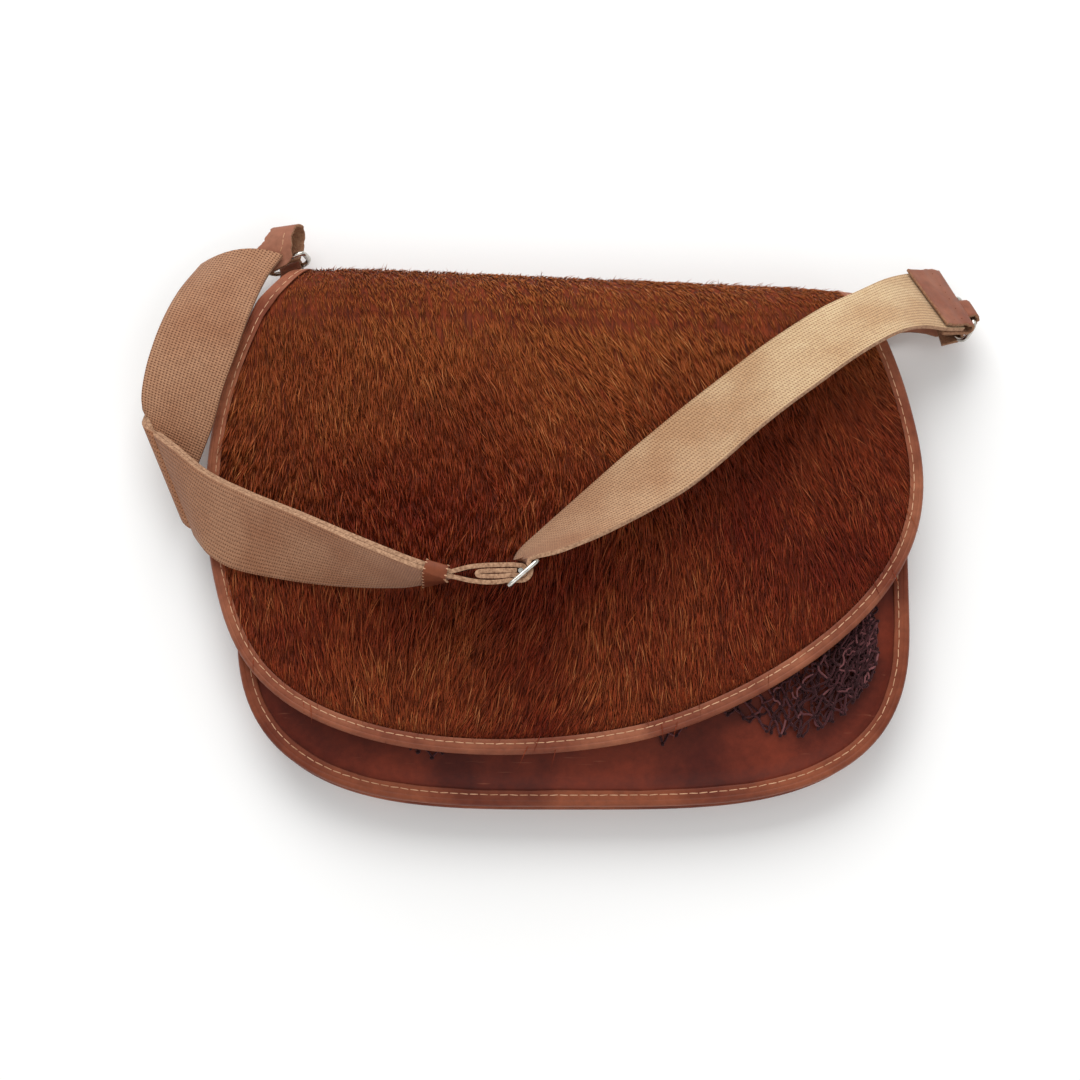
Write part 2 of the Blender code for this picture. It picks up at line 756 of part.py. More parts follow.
def make_ring(name, axes, material, collection):
    """A bent wire ring with one straight side and a rounder one, its wire ends welded."""
    centre, along, up = axes
    corner_steps = 3
    corners = [(1, 1, 3.0, 0), (-1, 1, 3.0, 90), (-1, -1, 7.0, 180), (1, -1, 7.0, 270)]
    points = []
    for side, level, radius, start in corners:
        pivot_a = side * (RING_HALF_LENGTH - radius)
        pivot_b = level * (RING_HALF_HEIGHT - radius)
        for step in range(corner_steps + 1):
            angle = math.radians(start + 90 * step / corner_steps)
            a = pivot_a + radius * math.cos(angle)
            b = pivot_b + radius * math.sin(angle)
            points.append((centre + along * a + up * b) * MM)
    return wire(name, points, RING_WIRE, True, material, collection)


def wire(name, points, radius, cyclic, material, collection):
    curve = bpy.data.curves.new(name, "CURVE")
    curve.dimensions = "3D"
    curve.bevel_depth = radius * MM
    curve.bevel_resolution = 2
    curve.use_fill_caps = not cyclic
    spline = curve.splines.new("POLY")
    spline.points.add(len(points) - 1)
    for target, point in zip(spline.points, points):
        target.co = (*point, 1.0)
    spline.use_cyclic_u = cyclic
    return add_object(name, curve, material, collection)


def as_mesh(item, collection):
    """The curve as a welded mesh object that modifiers can cut and join."""
    graph = bpy.context.evaluated_depsgraph_get()
    data = bpy.data.meshes.new_from_object(item.evaluated_get(graph))
    mesh = bmesh.new()
    mesh.from_mesh(data)
    bmesh.ops.remove_doubles(mesh, verts=mesh.verts, dist=1e-6)
    mesh.to_mesh(data)
    mesh.free()
    name, place = item.name, item.matrix_world.copy()
    bpy.data.objects.remove(item, do_unlink=True)
    result = bpy.data.objects.new(name, data)
    result.matrix_world = place
    collection.objects.link(result)
    return result


def make_slider(material, collection, helpers):
    """Flat three-bar slider standing on edge, its centre bar set a little to one side."""
    low = SLIDER_FOOT - CLEARANCE - SLIDER_WIRE - 0.2
    high = SLIDER_FOOT + WEB_WIDTH + CLEARANCE + SLIDER_WIRE + 0.2
    radius = 2.6
    points = []
    corners = [(1, high, 0), (-1, high, 90), (-1, low, 180), (1, low, 270)]
    for side, level, start in corners:
        direction = 1 if level == high else -1
        for step in range(4):
            angle = math.radians(start + 90 * step / 3)
            along = side * (SLIDER_HALF_SPAN - radius) + radius * math.cos(angle)
            z = level - direction * radius + radius * math.sin(angle)
            plan = slider_plan(along, 0.0)
            points.append(Vector((plan.x, plan.y, z)) * MM)
    frame = as_mesh(wire("slider", points, SLIDER_WIRE, True, material, collection), collection)
    bar = centre_bar()
    ends = [Vector((bar.x, bar.y, low - 0.6)) * MM, Vector((bar.x, bar.y, high + 0.6)) * MM]
    rod = as_mesh(wire("slider_bar", ends, SLIDER_BAR, False, material, collection), helpers)
    rod.hide_render = True
    rod.display_type = "WIRE"
    joined = frame.modifiers.new("Centre bar", "BOOLEAN")
    joined.operation = "UNION"
    joined.solver = "EXACT"
    joined.object = rod
    return frame


def strip_row(centre, across, half_width):
    return (centre - across * half_width, centre, centre + across * half_width)


def make_tab_left(material, collection):
    """Sewn to the back's top left corner, looped round the left ring's lower side."""
    ring, along, up = ring_axes_left()
    bar = ring - up * RING_HALF_HEIGHT
    flat = Vector((1.0, 0.0, 0.0))
    start = [Vector((-170.5, 104, 5.0)), Vector((-170.5, 124, 5.0)), Vector((-170.5, 141, 5.0))]
    rows = [strip_row(place, flat, TAB_HALF_WIDTH) for place in start]
    lean = (flat + along).normalized()
    rows.append(strip_row(Vector((-169.8, 150, 8.0)), lean, TAB_HALF_WIDTH))
    towards = Vector((0.0, 1.0, 0.0))
    towards = (towards - along * towards.dot(along)).normalized()
    rows += loop_rows(bar, along, towards, 3.4, TAB_HALF_WIDTH, 120, -90, 8)
    rows.append(strip_row(Vector((-169.8, 151, 4.6)), lean, TAB_HALF_WIDTH))
    rows.append(strip_row(Vector((-170.5, 142, 2.1)), flat, TAB_HALF_WIDTH))
    return sheet("tab_left", [rows], STRAP_LEATHER, material, collection)


def make_tab_right(material, collection):
    """Sewn to the back's top right corner, looped round the right ring's round side."""
    ring, along, up = ring_axes_right()
    bar = ring - up * RING_HALF_HEIGHT
    flat = Vector((0.0, -1.0, 0.0))
    places = [Vector((168, 112, 4.8)), Vector((181, 112.5, 4.9)), Vector((195, 115, 4.6)),
              Vector((208, 118.5, 5.0))]
    rows = [strip_row(place, flat, TAB_HALF_WIDTH) for place in places]
    lean = (flat + along).normalized()
    towards = Vector((1.0, 0.0, 0.0))
    towards = (towards - along * towards.dot(along)).normalized()
    rise = along.cross(towards).normalized()
    rows.append(strip_row(bar - towards * 8 + rise * 1.5, lean, TAB_HALF_WIDTH))
    rows += loop_rows(bar, along, towards, 3.4, TAB_HALF_WIDTH, 110, -100, 8)
    rows.append(strip_row(bar - towards * 8.5 - rise * 2.2, lean, TAB_HALF_WIDTH))
    return sheet("tab_right", [rows], STRAP_LEATHER, material, collection)


def main():
    clear_scene()
    bag = bpy.data.collections.new("hunting_game_bag")
    helpers = bpy.data.collections.new("cutters")
    bpy.context.scene.collection.children.link(bag)
    bpy.context.scene.collection.children.link(helpers)

    panel_leather = principled("panel_leather", LEATHER_BROWN, 0.45)
    binding_leather = principled("binding_leather", BINDING_BROWN, 0.5)
    hair = principled("hair_on_hide", HAIR_RUST, 0.6)
    cord = principled("net_cord", NET_BURGUNDY, 0.85)
    web = principled("woven_web", WEB_TAN, 0.85)
    end_leather = principled("strap_leather", END_LEATHER, 0.55)
    nickel = principled("nickel_plate", NICKEL, 0.2, 1.0)

    make_back_panel(panel_leather, bag)
    make_gusset(panel_leather, bag)
    make_front_panel(panel_leather, bag)
    gusset_stack = PANEL_THICKNESS / 2 + CLEARANCE + GUSSET_THICKNESS
    half_panel = PANEL_THICKNESS / 2
    make_body_binding("back_binding", BACK_RIM_Z - half_panel, BACK_RIM_Z + gusset_stack,
                      binding_leather, bag)
    make_body_binding("front_binding", FRONT_RIM_Z - gusset_stack, FRONT_RIM_Z + half_panel,
                      binding_leather, bag)
    make_net(cord, bag)
    make_flap_hide(hair, bag)
    make_flap_binding(binding_leather, bag)
    make_strap_left(web, bag)
    make_strap_right(web, bag)
    make_keeper(end_leather, bag)
    make_slider(nickel, bag, helpers)
    make_leather_end_left(end_leather, bag)
    make_leather_end_right(end_leather, bag)
    make_ring("ring_left", ring_axes_left(), nickel, bag)
    make_ring("ring_right", ring_axes_right(), nickel, bag)
    make_tab_left(end_leather, bag)
    make_tab_right(end_leather, bag)


main()
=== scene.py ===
import math

import bmesh
import bpy
import numpy as np
from bpy.props import FloatProperty, FloatVectorProperty, IntProperty, PointerProperty
from mathutils import Matrix, Vector


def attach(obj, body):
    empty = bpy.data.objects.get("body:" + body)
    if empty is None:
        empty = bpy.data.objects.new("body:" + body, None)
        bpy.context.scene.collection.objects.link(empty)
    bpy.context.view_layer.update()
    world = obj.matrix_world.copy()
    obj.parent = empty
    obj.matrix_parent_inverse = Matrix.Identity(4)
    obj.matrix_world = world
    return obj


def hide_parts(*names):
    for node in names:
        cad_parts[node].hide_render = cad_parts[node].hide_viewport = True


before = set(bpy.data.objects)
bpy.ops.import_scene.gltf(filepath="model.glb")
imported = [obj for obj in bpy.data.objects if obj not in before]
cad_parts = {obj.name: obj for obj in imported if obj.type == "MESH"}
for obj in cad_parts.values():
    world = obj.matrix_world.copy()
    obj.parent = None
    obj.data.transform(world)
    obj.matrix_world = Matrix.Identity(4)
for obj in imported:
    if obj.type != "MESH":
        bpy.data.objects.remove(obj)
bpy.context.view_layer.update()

bl_info = {
    "name": "Hunting game bag",
    "version": (1, 0, 0),
    "blender": (4, 5, 0),
    "location": "3D View > Sidebar > Game bag",
    "description": "Leather game bag with a hair-on hide flap, a carrying net and a woven strap",
    "category": "Object",
}

# Every size below is in millimetres. +X is the bag's right, +Y its top, +Z up off the floor.
MM = 0.001

# Body outline
BODY_HALF_WIDTH = 192.0
BODY_BOTTOM_Y = -160.0
BODY_WAIST_Y = -50.0
BODY_SIDE_POWER = 3.5
BODY_BOTTOM_POWER = 2.7
SHOULDERS = [(0.0, 192.0), (75.0, 187.5), (150.0, 174.0)]
MOUTH_Y = 100.0
BINDING_TOP_Y = 103.0
BACK_TOP_Y = 127.5

# Heights of the walls' middles
BACK_FLAT_Z = 1.0
BACK_RIM_Z = 2.6
FRONT_RIM_Z = 31.0
FRONT_PUFF = 12.5
GUSSET_FOLD = 17.0
EDGE_SETBACK = 2.2

# Half a panel's wall, the side strip's wall, how far its middle lies from a panel's, and the
# inset of the groove that runs along a binding's lip
PANEL_HALF = 1.0
GUSSET_WALL = 1.6
GUSSET_OFFSET = 2.25
GROOVE_INSET = 10.6

# Air between two layers that lie on each other
LAYER_GAP = 0.45

# Flap outline, a skewed superellipse below the hinge line, and its height
FLAP_CENTRE = (5.0, 22.0)
FLAP_TURN = math.radians(13.8)
FLAP_LEFT = 217.0
FLAP_RIGHT = 195.0
FLAP_DEPTH = 150.0
FLAP_RISE = 231.0
FLAP_SIDE_POWER = 1.73
FLAP_BOTTOM_POWER = 2.69
HINGE_Y = 122.5
HINGE_SLOPE = -0.046
FLAP_Z = 51.5
SEAM_Z = 3.9
SEAM_FLANGE = 12.0

# Half the thickness that the flap's binding is folded round
HIDE_HALF = 1.5

# How far the flap's sides hang down, from which x on, and over which distance
LEFT_DROOP = 21.0
LEFT_DROOP_START = 115.0
LEFT_DROOP_RUN = 96.0
RIGHT_DROOP = 12.0
RIGHT_DROOP_START = 120.0
RIGHT_DROOP_RUN = 80.0

# How far the rolled edge draws in at each side, and the divisions and rims of the hide
ROLL_LEFT_TUCK = 29.0
ROLL_RIGHT_TUCK = 19.0
FLAP_STATIONS = 132
HIDE_EDGE = 2.6
HIDE_LIP = 10.5

# The doubled run of web: each row is a line across the web, its raised edge's x, y, z and
# then its resting edge's. The upper part runs down from the left leather end to the fold.
UPPER_RUN = [
    (-218.5, 158, 21, -169.5, 160.5, 33),
    (-230, 137, 34, -178.5, 144.5, 39.5),
    (-238.5, 115, 43, -187, 121.5, 45),
    (-244.5, 95, 45, -195, 97, 45.5),
    (-247.5, 80, 44, -202, 77.5, 43),
    (-248, 72, 42.5, -207.5, 58.5, 39),
]
FOLD_LINE = (-244.5, 63.5, 42, -219, 3.5, 31)
FOLD_RADII = (2.7, 3.1)
LOWER_RUN = [
    (-225.5, 41, 56, -210.5, -11.5, 38.5),
    (-207, 25.5, 64.5, -205, -18, 40.5),
    (-183, 12, 75.5, -191.5, -25.5, 44),
    (-151, -3.5, 90.5, -161.5, -32.5, 52),
    (-122, -18, 102, -131, -36.5, 57),
    (-93, -31, 107.6, -98, -37.3, 58.8),
    (-80, -35.8, 108.4, -84, -35.4, 59.2),
    (-67, -39.6, 108.6, -69, -32.0, 59.4),
]
RIGHT_RUN = [
    (-21.5, -29.9, 107, -33, -23.4, 59.2),
    (-10.3, -26.9, 103.8, -29.1, -17.5, 58.5),
    (1, -22.4, 101.8, -18, -7, 58),
    (13.7, -16.6, 98.5, -4.3, 5.6, 57.5),
    (27.5, -9.3, 95, 9.3, 18, 57),
    (44, 0.2, 90.5, 25.7, 32.8, 57),
    (63, 12.3, 86.5, 44, 48.5, 57),
    (82, 27.7, 85, 63.5, 64.8, 57),
    (101, 44.5, 86, 84, 81, 56.5),
    (120, 59.8, 85.5, 105, 97.6, 56),
    (138.5, 73.7, 83.5, 125.5, 112.3, 54),
    (155.5, 86.6, 81, 145, 125, 51),
    (172, 97.6, 77.5, 165, 135.4, 46),
    (187, 106, 71, 181.5, 144.8, 38),
    (201, 111, 60, 195.5, 151, 28),
    (216, 113.3, 46, 206.5, 154.5, 18.5),
    (230, 116, 36, 215, 157, 10.5),
]
LAYER_OFFSET = 1.3
WEB_COLUMNS = 10

# The web stands upright at the slider, its foot leaning back by FOOT_BACK
FOOT_BACK = 8.0
SLIDER_TOP = 108.6
SLIDER_FOOT = 59.2
SEWN_PLAN = [(-62, -37.0), (-57, -35.8), (-48, -34.9), (-38, -34.7), (-33.5, -34.6)]
RETURN_PLAN = [(-34, -40.3), (-40, -40.8), (-46, -40.9), (-51, -40.8)]
FOLD_PLAN = [(-52.4, -40.4), (-53.0, -39.5), (-52.4, -38.6)]
HEM_PLAN = [(-51, -38.2), (-45.9, -37.9), (-40, -37.8), (-31.4, -37.7)]
RUNNING_PLAN = [(-62, -42.1), (-56, -43.4), (-48, -44.2), (-41, -44.0), (-36, -43.2),
                (-32.6, -43.3)]
SLIDER_MIDDLE = (-28.1, -39.2)
SLIDER_ALONG = (0.756, 0.655)
BAR_LIFT = 1.9

# The bar's wire and the radii at which the left and the right web turn round it, and the
# slider's frame along its wire's middle
BAR_RADIUS = 1.4
BAR_WRAP = 2.75
RUNNING_WRAP = 5.45
SLIDER_HALF_LENGTH = 10.1
SLIDER_CORNER = 2.4

# Leather on the web's left end: left edge x, y, z, then right edge x, y, z
LEFT_END_ROWS = [
    (-176, 159, 19.0, -161, 162, 22.5),
    (-176, 168, 17.5, -159, 170, 20.0),
    (-176, 176, 18.5, -158.5, 178, 20.5),
    (-176, 180, 24, -159, 181.5, 25.5),
    (-177.5, 178, 29.5, -162.5, 179.5, 32.5),
    (-181, 172, 30, -164.5, 172, 35),
    (-186, 166, 28.5, -164.5, 165.5, 34),
    (-196, 160, 25.5, -165.5, 158.5, 31.5),
    (-206, 150, 26, -178, 151, 30),
]

# The right leather end's last two lines across the web; the ring hangs from them
RIGHT_END = (231, 116, 36, 216, 157, 10)
RIGHT_BEFORE_END = (214, 113, 46, 197, 153, 22)
RIGHT_LIFT = 2.4
RIGHT_LOOP_RADIUS = 3.6

# Both rings' wire, along its middle, with tighter corners at the top
RING_HALF_WIDTH = 12.6
RING_HALF_HEIGHT = 7.75
RING_TOP_CORNER = 3.0
RING_LOW_CORNER = 7.0

# The net: its left end and top edge, the width that lies flat, the width that the rest of it
# is gathered into, and the distance between two pleats of that bunch
NET_LEFT_X = -104.0
NET_TOP_Y = 62.0
NET_FLAT_WIDTH = 212.0
NET_BUNCH_WIDTH = 68.0
NET_PLEAT = 21.0

# Stage: the point the camera looks at, the sky's strength, and each light's place and size in
# metres and its power in watts
CAMERA_TARGET = (-19.0, -2.0, 0.0)
SKY_STRENGTH = 0.58
LIGHTS = (("key", (-0.25, 1.5, 1.55), 1.8, 37.0), ("fill", (0.5, -1.4, 1.3), 1.6, 9.0))


def linear(code):
    """An sRGB hex value as the linear colour that shaders take."""
    values = [int(code[i:i + 2], 16) / 255 for i in (1, 3, 5)]
    return tuple(v / 12.92 if v <= 0.04045 else ((v + 0.055) / 1.055) ** 2.4
                 for v in values) + (1.0,)


# Sizes and colours that a user would change

def length(name, default, description, low=0.0):
    """A length property, given in millimetres and kept in metres."""
    return FloatProperty(name=name, description=description, default=default * MM,
                         min=low * MM, max=10.0, precision=5, subtype="DISTANCE",
                         unit="LENGTH")


def colour(name, code, description):
    """A colour property, given as an sRGB hex value."""
    return FloatVectorProperty(name=name, description=description, default=linear(code),
                               min=0.0, max=1.0, size=4, subtype="COLOR")


class GAMEBAG_PG_leather(bpy.types.PropertyGroup):
    panel_thickness: length("Panel", 2.0, "Thickness of the back and the front")
    gusset_thickness: length("Side strip", 1.6, "Thickness of the folded side strip")
    binding_thickness: length("Binding", 1.1, "Thickness of the strip folded round the rims")
    binding_width: length("Binding width", 9.0, "How far the folded strip reaches inwards")
    stitch_pitch: length("Stitch pitch", 5.6, "Distance from one stitch to the next", 1.0)
    stitch_inset: length("Stitch inset", 6.4, "Distance of the stitches from the rim")
    thread: length("Thread", 0.62, "Width of the sewing thread")


class GAMEBAG_PG_hide(bpy.types.PropertyGroup):
    hide_thickness: length("Hide", 2.2, "Thickness of the flap's hide without its hair")
    hair_length: length("Hair length", 18.0, "Length of the hair from root to tip")
    hair_width: length("Hair width", 0.52, "Width of a lock of a few hairs")
    tuft_spacing: length("Tuft spacing", 4.8, "Distance between neighbouring tufts", 1.0)
    hairs_per_tuft: IntProperty(name="Hairs in a tuft", default=8, min=1, max=60,
                                description="Number of locks that lean together")


class GAMEBAG_PG_net(bpy.types.PropertyGroup):
    bar: length("Bar", 8.8, "Length of cord from knot to knot", 3.0)
    cord: length("Cord", 1.15, "Thickness of the net's cord")
    knot: length("Knot", 2.3, "Size of a knot")


class GAMEBAG_PG_strap(bpy.types.PropertyGroup):
    web_thickness: length("Web", 2.45, "Thickness of the woven web")
    keeper_leather: length("Keeper", 1.2, "Thickness of the keeper's leather")
    end_leather: length("End leather", 1.8, "Thickness of the leather at the web's ends")
    ring_wire: length("Ring wire", 3.0, "Thickness of the rings' wire")
    slider_wire: length("Slider wire", 2.5, "Thickness of the slider's wire")


class GAMEBAG_PG_colours(bpy.types.PropertyGroup):
    panel: colour("Panel leather", "#6e2a18", "Waxed leather of the body")
    panel_worn: colour("Panel leather, dark", "#4a170d", "Darker clouds in the panel leather")
    binding: colour("Binding leather", "#965a40", "Folded strips round the edges")
    binding_worn: colour("Binding leather, dark", "#6f3624", "Darker clouds in the strips")
    rim: colour("Rim leather", "#87482f", "Folded strips round the body's rims")
    rim_worn: colour("Rim leather, dark", "#642d1d", "Darker clouds in the rims' strips")
    strap_leather: colour("Strap leather", "#9a6650", "Leather of ends and tabs")
    strap_worn: colour("Strap leather, dark", "#7d4634", "Darker clouds in the strap leather")
    keeper: colour("Keeper leather", "#7a4028", "Leather of the keeper")
    thread: colour("Thread", "#d3a482", "Sewing thread")
    hair: colour("Hair", "#9c411c", "Rust coloured hair")
    # Painted shade: the nearly black colour in the furrows of the skin under the hair
    hair_dark: colour("Dark hair", "#4a1c0e", "Hair near its roots")
    hair_light: colour("Light hair", "#be7646", "Bleached hairs")
    net: colour("Net cord", "#4c2529", "Dyed cord of the net")
    web: colour("Web", "#d0b48e", "Woven web at the right")
    web_browned: colour("Browned web", "#ad8163", "Woven web at the left")
    nickel: colour("Nickel", "#d9d6cf", "Plated rings and slider")


class GAMEBAG_PG_stage(bpy.types.PropertyGroup):
    elevation: FloatProperty(name="Elevation", default=math.radians(80.0), min=0.0, max=1.57,
                             description="Camera angle above the floor", subtype="ANGLE",
                             unit="ROTATION")
    distance: length("Distance", 1350.0, "Distance from the camera to the bag", 200.0)
    lens: FloatProperty(name="Lens", default=76.5, min=10.0, max=400.0, unit="CAMERA",
                        description="Focal length on a 36 mm wide frame")


GROUPS = (
    ("leather", GAMEBAG_PG_leather),
    ("hide", GAMEBAG_PG_hide),
    ("net", GAMEBAG_PG_net),
    ("strap", GAMEBAG_PG_strap),
    ("colours", GAMEBAG_PG_colours),
    ("stage", GAMEBAG_PG_stage),
)


def settings(name):
    return getattr(bpy.context.scene, "gamebag_" + name)


# Small geometry helpers

def blend(a, b, t):
    return a + (b - a) * t


def smoothstep(value):
    t = min(1.0, max(0.0, value))
    return t * t * (3 - 2 * t)


def row_ends(row):
    return Vector(row[:3]), Vector(row[3:])


def lengths_along(points):
    """The distance along a line of points, from its first point to each of them."""
    lengths = [0.0]
    for before, after in zip(points, points[1:]):
        lengths.append(lengths[-1] + math.dist(before, after))
    return lengths


def pieces_at(lengths, places):
    """For each place along a line, the piece that it falls on and its share of that piece."""
    piece = 0
    for place in places:
        while piece < len(lengths) - 2 and place > lengths[piece + 1]:
            piece += 1
        yield piece, (place - lengths[piece]) / max(1e-9, lengths[piece + 1] - lengths[piece])


def angles(start, end, count):
    """Angles in radians, in equal steps from start to end in degrees."""
    return [math.radians(blend(start, end, step / count)) for step in range(count + 1)]


def square_to(direction, axis):
    """The direction, turned until it stands square to the axis."""
    return (direction - axis * direction.dot(axis)).normalized()


def smooth_rows(rows, count):
    """Rows evenly spaced along a smooth curve through the given rows of numbers."""
    knots = lengths_along(rows)
    slopes = []
    for index in range(len(rows)):
        low, high = max(0, index - 1), min(len(rows) - 1, index + 1)
        span = knots[high] - knots[low]
        slopes.append([(b - a) / span for a, b in zip(rows[low], rows[high])])
    result = []
    places = [knots[-1] * step / count for step in range(count + 1)]
    for piece, t in pieces_at(knots, places):
        span = knots[piece + 1] - knots[piece]
        weights = (2*t**3 - 3*t**2 + 1, (t**3 - 2*t**2 + t) * span,
                   -2*t**3 + 3*t**2, (t**3 - t**2) * span)
        sources = (rows[piece], slopes[piece], rows[piece + 1], slopes[piece + 1])
        result.append([sum(w * source[k] for w, source in zip(weights, sources))
                       for k in range(len(rows[0]))])
    return result


def evenly_spaced(points, count):
    """Places along a finely drawn flat outline, each with the direction pointing inwards."""
    lengths = lengths_along(points)
    result = []
    places = [lengths[-1] * step / count for step in range(count + 1)]
    for piece, t in pieces_at(lengths, places):
        start, end = Vector(points[piece]), Vector(points[piece + 1])
        before = Vector(points[max(0, piece - 6)])
        after = Vector(points[min(len(points) - 1, piece + 7)])
        tangent = (after - before).normalized()
        result.append((start.lerp(end, t), Vector((-tangent.y, tangent.x))))
    return result


def inset_point(station, inset):
    place, inwards = station
    return place + inwards * inset


def waves(x, y, scale, seed=0.0):
    """A smooth, repeatable unevenness from -1 to 1 with bumps about scale millimetres apart."""
    a = x / scale * 2.1 + seed
    b = y / scale * 2.1 + seed * 1.7
    return (math.sin(a + 1.3 * math.sin(b * 0.7 + 2.0)) * math.cos(b + 0.9 * math.sin(a * 0.8))
            + 0.5 * math.sin(a * 1.9 + b * 1.3 + 4.0)) / 1.5


# Mesh building

def add_patch(mesh, sections, skewed=False):
    """Bends a grid of faces through rows of points. Its UV holds real lengths in millimetres:
    across the row and along it. On a skewed patch each edge keeps its own length along."""
    columns, rows = len(sections[0]) - 1, len(sections) - 1
    layer = mesh.loops.layers.uv.get("UVMap") or mesh.loops.layers.uv.new("UVMap")
    made = bmesh.ops.create_grid(mesh, x_segments=columns, y_segments=rows, size=1.0)
    across = lengths_along(sections[rows // 2])
    sides = [lengths_along([section[column] for section in sections])
             for column in ((0, columns) if skewed else (columns // 2, columns // 2))]
    spots = {}
    for vertex in made["verts"]:
        column = round((vertex.co.x + 1) / 2 * columns)
        row = round((vertex.co.y + 1) / 2 * rows)
        share = column / columns
        spots[vertex] = (across[column], blend(sides[0][row], sides[1][row], share))
        vertex.co = Vector(sections[row][column]) * MM
    for face in {face for vertex in made["verts"] for face in vertex.link_faces}:
        for loop in face.loops:
            loop[layer].uv = spots[loop.vert]


def mesh_data(mesh, name):
    data = bpy.data.meshes.new(name)
    mesh.to_mesh(data)
    mesh.free()
    return data


def put_in_scene(name, data):
    item = bpy.data.objects.new(name, data)
    bpy.context.scene.collection.objects.link(item)
    return item


def finish_mesh(mesh, name, materials, smooth_angle=40):
    data = mesh_data(mesh, name)
    for material in materials:
        data.materials.append(material)
    item = put_in_scene(name, data)
    data.shade_smooth()
    data.set_sharp_from_angle(angle=math.radians(smooth_angle))
    return item


def sheet(name, patches, thickness, materials, rounding=0.0, skewed=False):
    """A sheet of bent patches that share edges, given a wall with slightly rounded edges.
    The last material covers its cut edges and, on leather, its lower face too."""
    mesh = bmesh.new()
    for sections in patches:
        add_patch(mesh, sections, skewed)
    bmesh.ops.remove_doubles(mesh, verts=mesh.verts, dist=1e-6)
    bmesh.ops.dissolve_degenerate(mesh, dist=1e-6, edges=mesh.edges)
    bmesh.ops.recalc_face_normals(mesh, faces=mesh.faces)
    highest = max(mesh.faces, key=lambda face: face.calc_center_median().z)
    if highest.normal.z < 0:
        bmesh.ops.reverse_faces(mesh, faces=mesh.faces)
    item = finish_mesh(mesh, name, materials)
    wall = item.modifiers.new("Wall", "SOLIDIFY")
    wall.thickness = thickness * MM
    wall.offset = 0.0
    wall.use_even_offset = not skewed
    wall.material_offset = 0 if skewed else len(materials) - 1
    wall.material_offset_rim = len(materials) - 1
    if rounding:
        edge = item.modifiers.new("Edge", "BEVEL")
        edge.width = rounding * MM
        edge.segments = 2
        edge.limit_method = "ANGLE"
        edge.angle_limit = math.radians(60)
    return item


def repeated(name, template, places, materials):
    """Copies of one small shape, each set in place by its own matrix in millimetres."""
    mesh = bmesh.new()
    for place in places:
        copy = template.copy()
        copy.transform(place)
        mesh.from_mesh(copy)
        bpy.data.meshes.remove(copy)
    bmesh.ops.scale(mesh, vec=(MM, MM, MM), verts=mesh.verts)
    return finish_mesh(mesh, name, materials, 80)


def stitch_template(length, width):
    """One stitch: a short round thread whose ends dip into the leather."""
    mesh = bmesh.new()
    bmesh.ops.create_uvsphere(mesh, u_segments=6, v_segments=5, radius=0.5)
    bmesh.ops.rotate(mesh, verts=mesh.verts, matrix=Matrix.Rotation(math.pi / 2, 3, "Y"))
    for vertex in mesh.verts:
        fullness = min(1.0, 1.5 * math.sqrt(max(0.0, 1 - (2 * vertex.co.x) ** 2)))
        radial = Vector((0.0, vertex.co.y, vertex.co.z))
        if radial.length > 1e-9:
            radial = radial.normalized() * 0.5 * fullness
        bow = -1.2 * vertex.co.x ** 2 * width
        vertex.co = Vector((vertex.co.x * length, radial.y * width, radial.z * width * 0.8 + bow))
    return mesh_data(mesh, "stitch")


def stitch_places(points, normals, pitch, lean=0.05):
    """Matrices that lay stitches along a line of points, each across its own normal."""
    lengths = lengths_along(points)
    count = int(lengths[-1] / pitch)
    spots = [(index + 0.5) * lengths[-1] / count for index in range(count)]
    places = []
    for index, (piece, t) in enumerate(pieces_at(lengths, spots)):
        start, end = Vector(points[piece]), Vector(points[piece + 1])
        normal = Vector(normals[piece]).lerp(Vector(normals[piece + 1]), t).normalized()
        along = square_to((end - start).normalized(), normal)
        side = normal.cross(along)
        wobble = lean * math.sin(index * 2.4) + 0.04 * math.sin(index * 5.1 + 1.0)
        along = (along + side * wobble).normalized()
        side = normal.cross(along)
        basis = Matrix((along, side, normal)).transposed().to_4x4()
        basis.translation = start.lerp(end, t)
        places.append(basis)
    return places


def strand_template(sides, rings, pointed):
    """A closed straight tube or cone whose rings follow a path later."""
    mesh = bmesh.new()
    bmesh.ops.create_cone(mesh, cap_ends=True, segments=sides, radius1=1.0,
                          radius2=0.0 if pointed else 1.0, depth=1.0)
    for ring in range(1, rings - 1):
        bmesh.ops.bisect_plane(mesh, geom=mesh.verts[:] + mesh.edges[:] + mesh.faces[:],
                               plane_co=(0.0, 0.0, ring / (rings - 1) - 0.5),
                               plane_no=(0.0, 0.0, 1.0))
    bmesh.ops.recalc_face_normals(mesh, faces=mesh.faces)
    return mesh_data(mesh, "strand")


